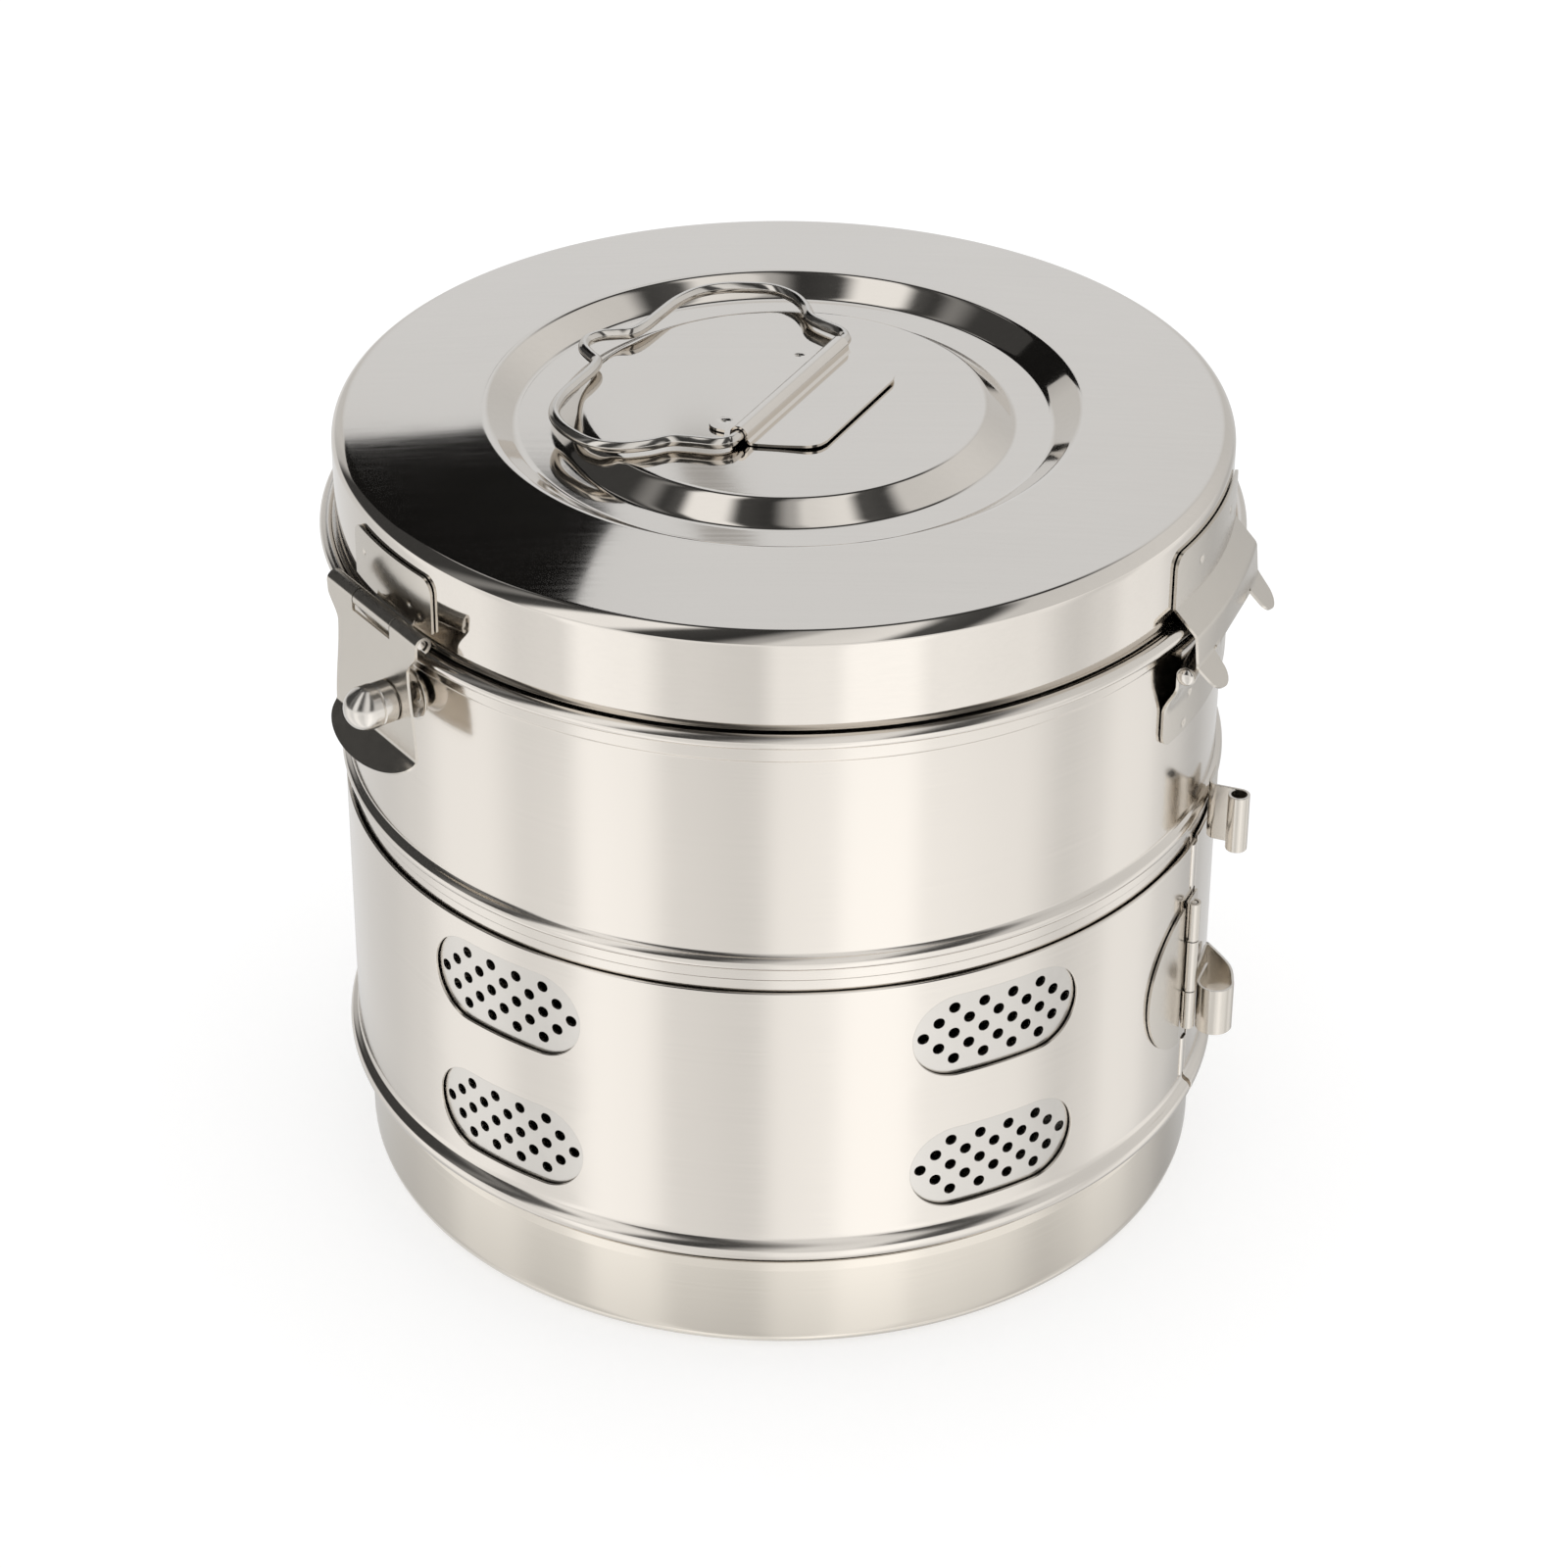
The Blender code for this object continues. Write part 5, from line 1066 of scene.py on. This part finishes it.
shade = bpy.data.materials.new("shade_on_table")
tree = empty_tree(shade)
place = add_node(tree, "TexCoord")
away = add_node(tree, "VectorMath", links={0: place.outputs["Object"]}, operation="LENGTH")
near = add_node(tree, "MapRange", {1: 0.118, 2: 0.165, 3: 0.76}, {0: away.outputs["Value"]})
far = add_node(tree, "MapRange", {1: 0.36, 2: 0.46, 3: 1.0, 4: 0.96}, {0: away.outputs["Value"]})
both = compute(tree, "MULTIPLY", near, far)
dimmed = add_node(tree, "CombineColor", links={k: both for k in range(3)})
through = add_node(tree, "BsdfTransparent", links={"Color": dimmed})
add_node(tree, "OutputMaterial", links={"Surface": through})
ring_profile = np.column_stack([np.array([119.0, 200.0, 400.0, 1500.0]), np.full(4, 0.5)])
ring_points = turned_up(ring_profile, 128).reshape(-1, 3) * MM
only_mirrored(stage_piece("shade_ring", ring_points.tolist(), grid_quads(4, 128, wrap=True).tolist(), shade))


def card(name, corners, grey, y=1500):
    """A card of one grey behind the drum; its corners are (x, z) in millimetres."""
    material = bpy.data.materials.new(name)
    tree = empty_tree(material)
    tone = add_node(tree, "Emission", {"Color": (1, 0.99, 0.97, 1), "Strength": grey})
    add_node(tree, "OutputMaterial", links={"Surface": tone})
    points = [(x * MM, y * MM, z * MM) for x, z in corners]
    only_mirrored(stage_piece(name, points, [tuple(range(len(corners)))], material))


card("dark_flag", [(-1500, 1036), (-380, 1039), (-306, 1050), (-130, 1044), (-110, 1070), (-114, 1150),
                   (-190, 1340), (-208, 1432), (-208, 1900), (-1500, 1900)], 0.008)
card("grey_flag", [(-72, 1028), (-46, 1028), (-12, 1104), (-48, 1104)], 0.40, 1501)
print("stage pieces: table, shade ring and two flags")

# %% [markdown]
# ## Camera
#
# The photograph was taken from 32 degrees above the table with a long lens, 1.3 m from the drum.
# Those values were fitted to the drum's rings, so the camera is placed by them: it looks along
# the direction ahead, and its frame is rolled by a third of a degree.

# %% Camera
roll_angle, distance = 0.005, 1.303147
ahead = np.array([0, FRONT_OUT, -FRONT_UP])
right, up = np.array([1.0, 0, 0]), np.array([0, FRONT_UP, FRONT_OUT])
across = right * math.cos(roll_angle) + up * math.sin(roll_angle)
upward = up * math.cos(roll_angle) - right * math.sin(roll_angle)
eye = np.array([0, 0, 0.106955]) - ahead * distance
camera = bpy.data.objects.new("camera", bpy.data.cameras.new("camera"))
bpy.context.scene.collection.objects.link(camera)
camera.data.sensor_width = 36
camera.data.lens = 4759.048 / 1600 * 36
camera.data.shift_x = 2.099 / 1600
rows = np.column_stack([across, upward, -ahead, eye])
camera.matrix_world = Matrix([*rows.tolist(), (0, 0, 0, 1)])
bpy.context.scene.camera = camera
bpy.context.scene.view_settings.view_transform = "Standard"
print("camera at", [round(float(v), 3) for v in eye])

# %% Sizes for comparison
low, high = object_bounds()
print("visual size in mm:", [round((b - a) / MM, 1) for a, b in zip(low, high)])
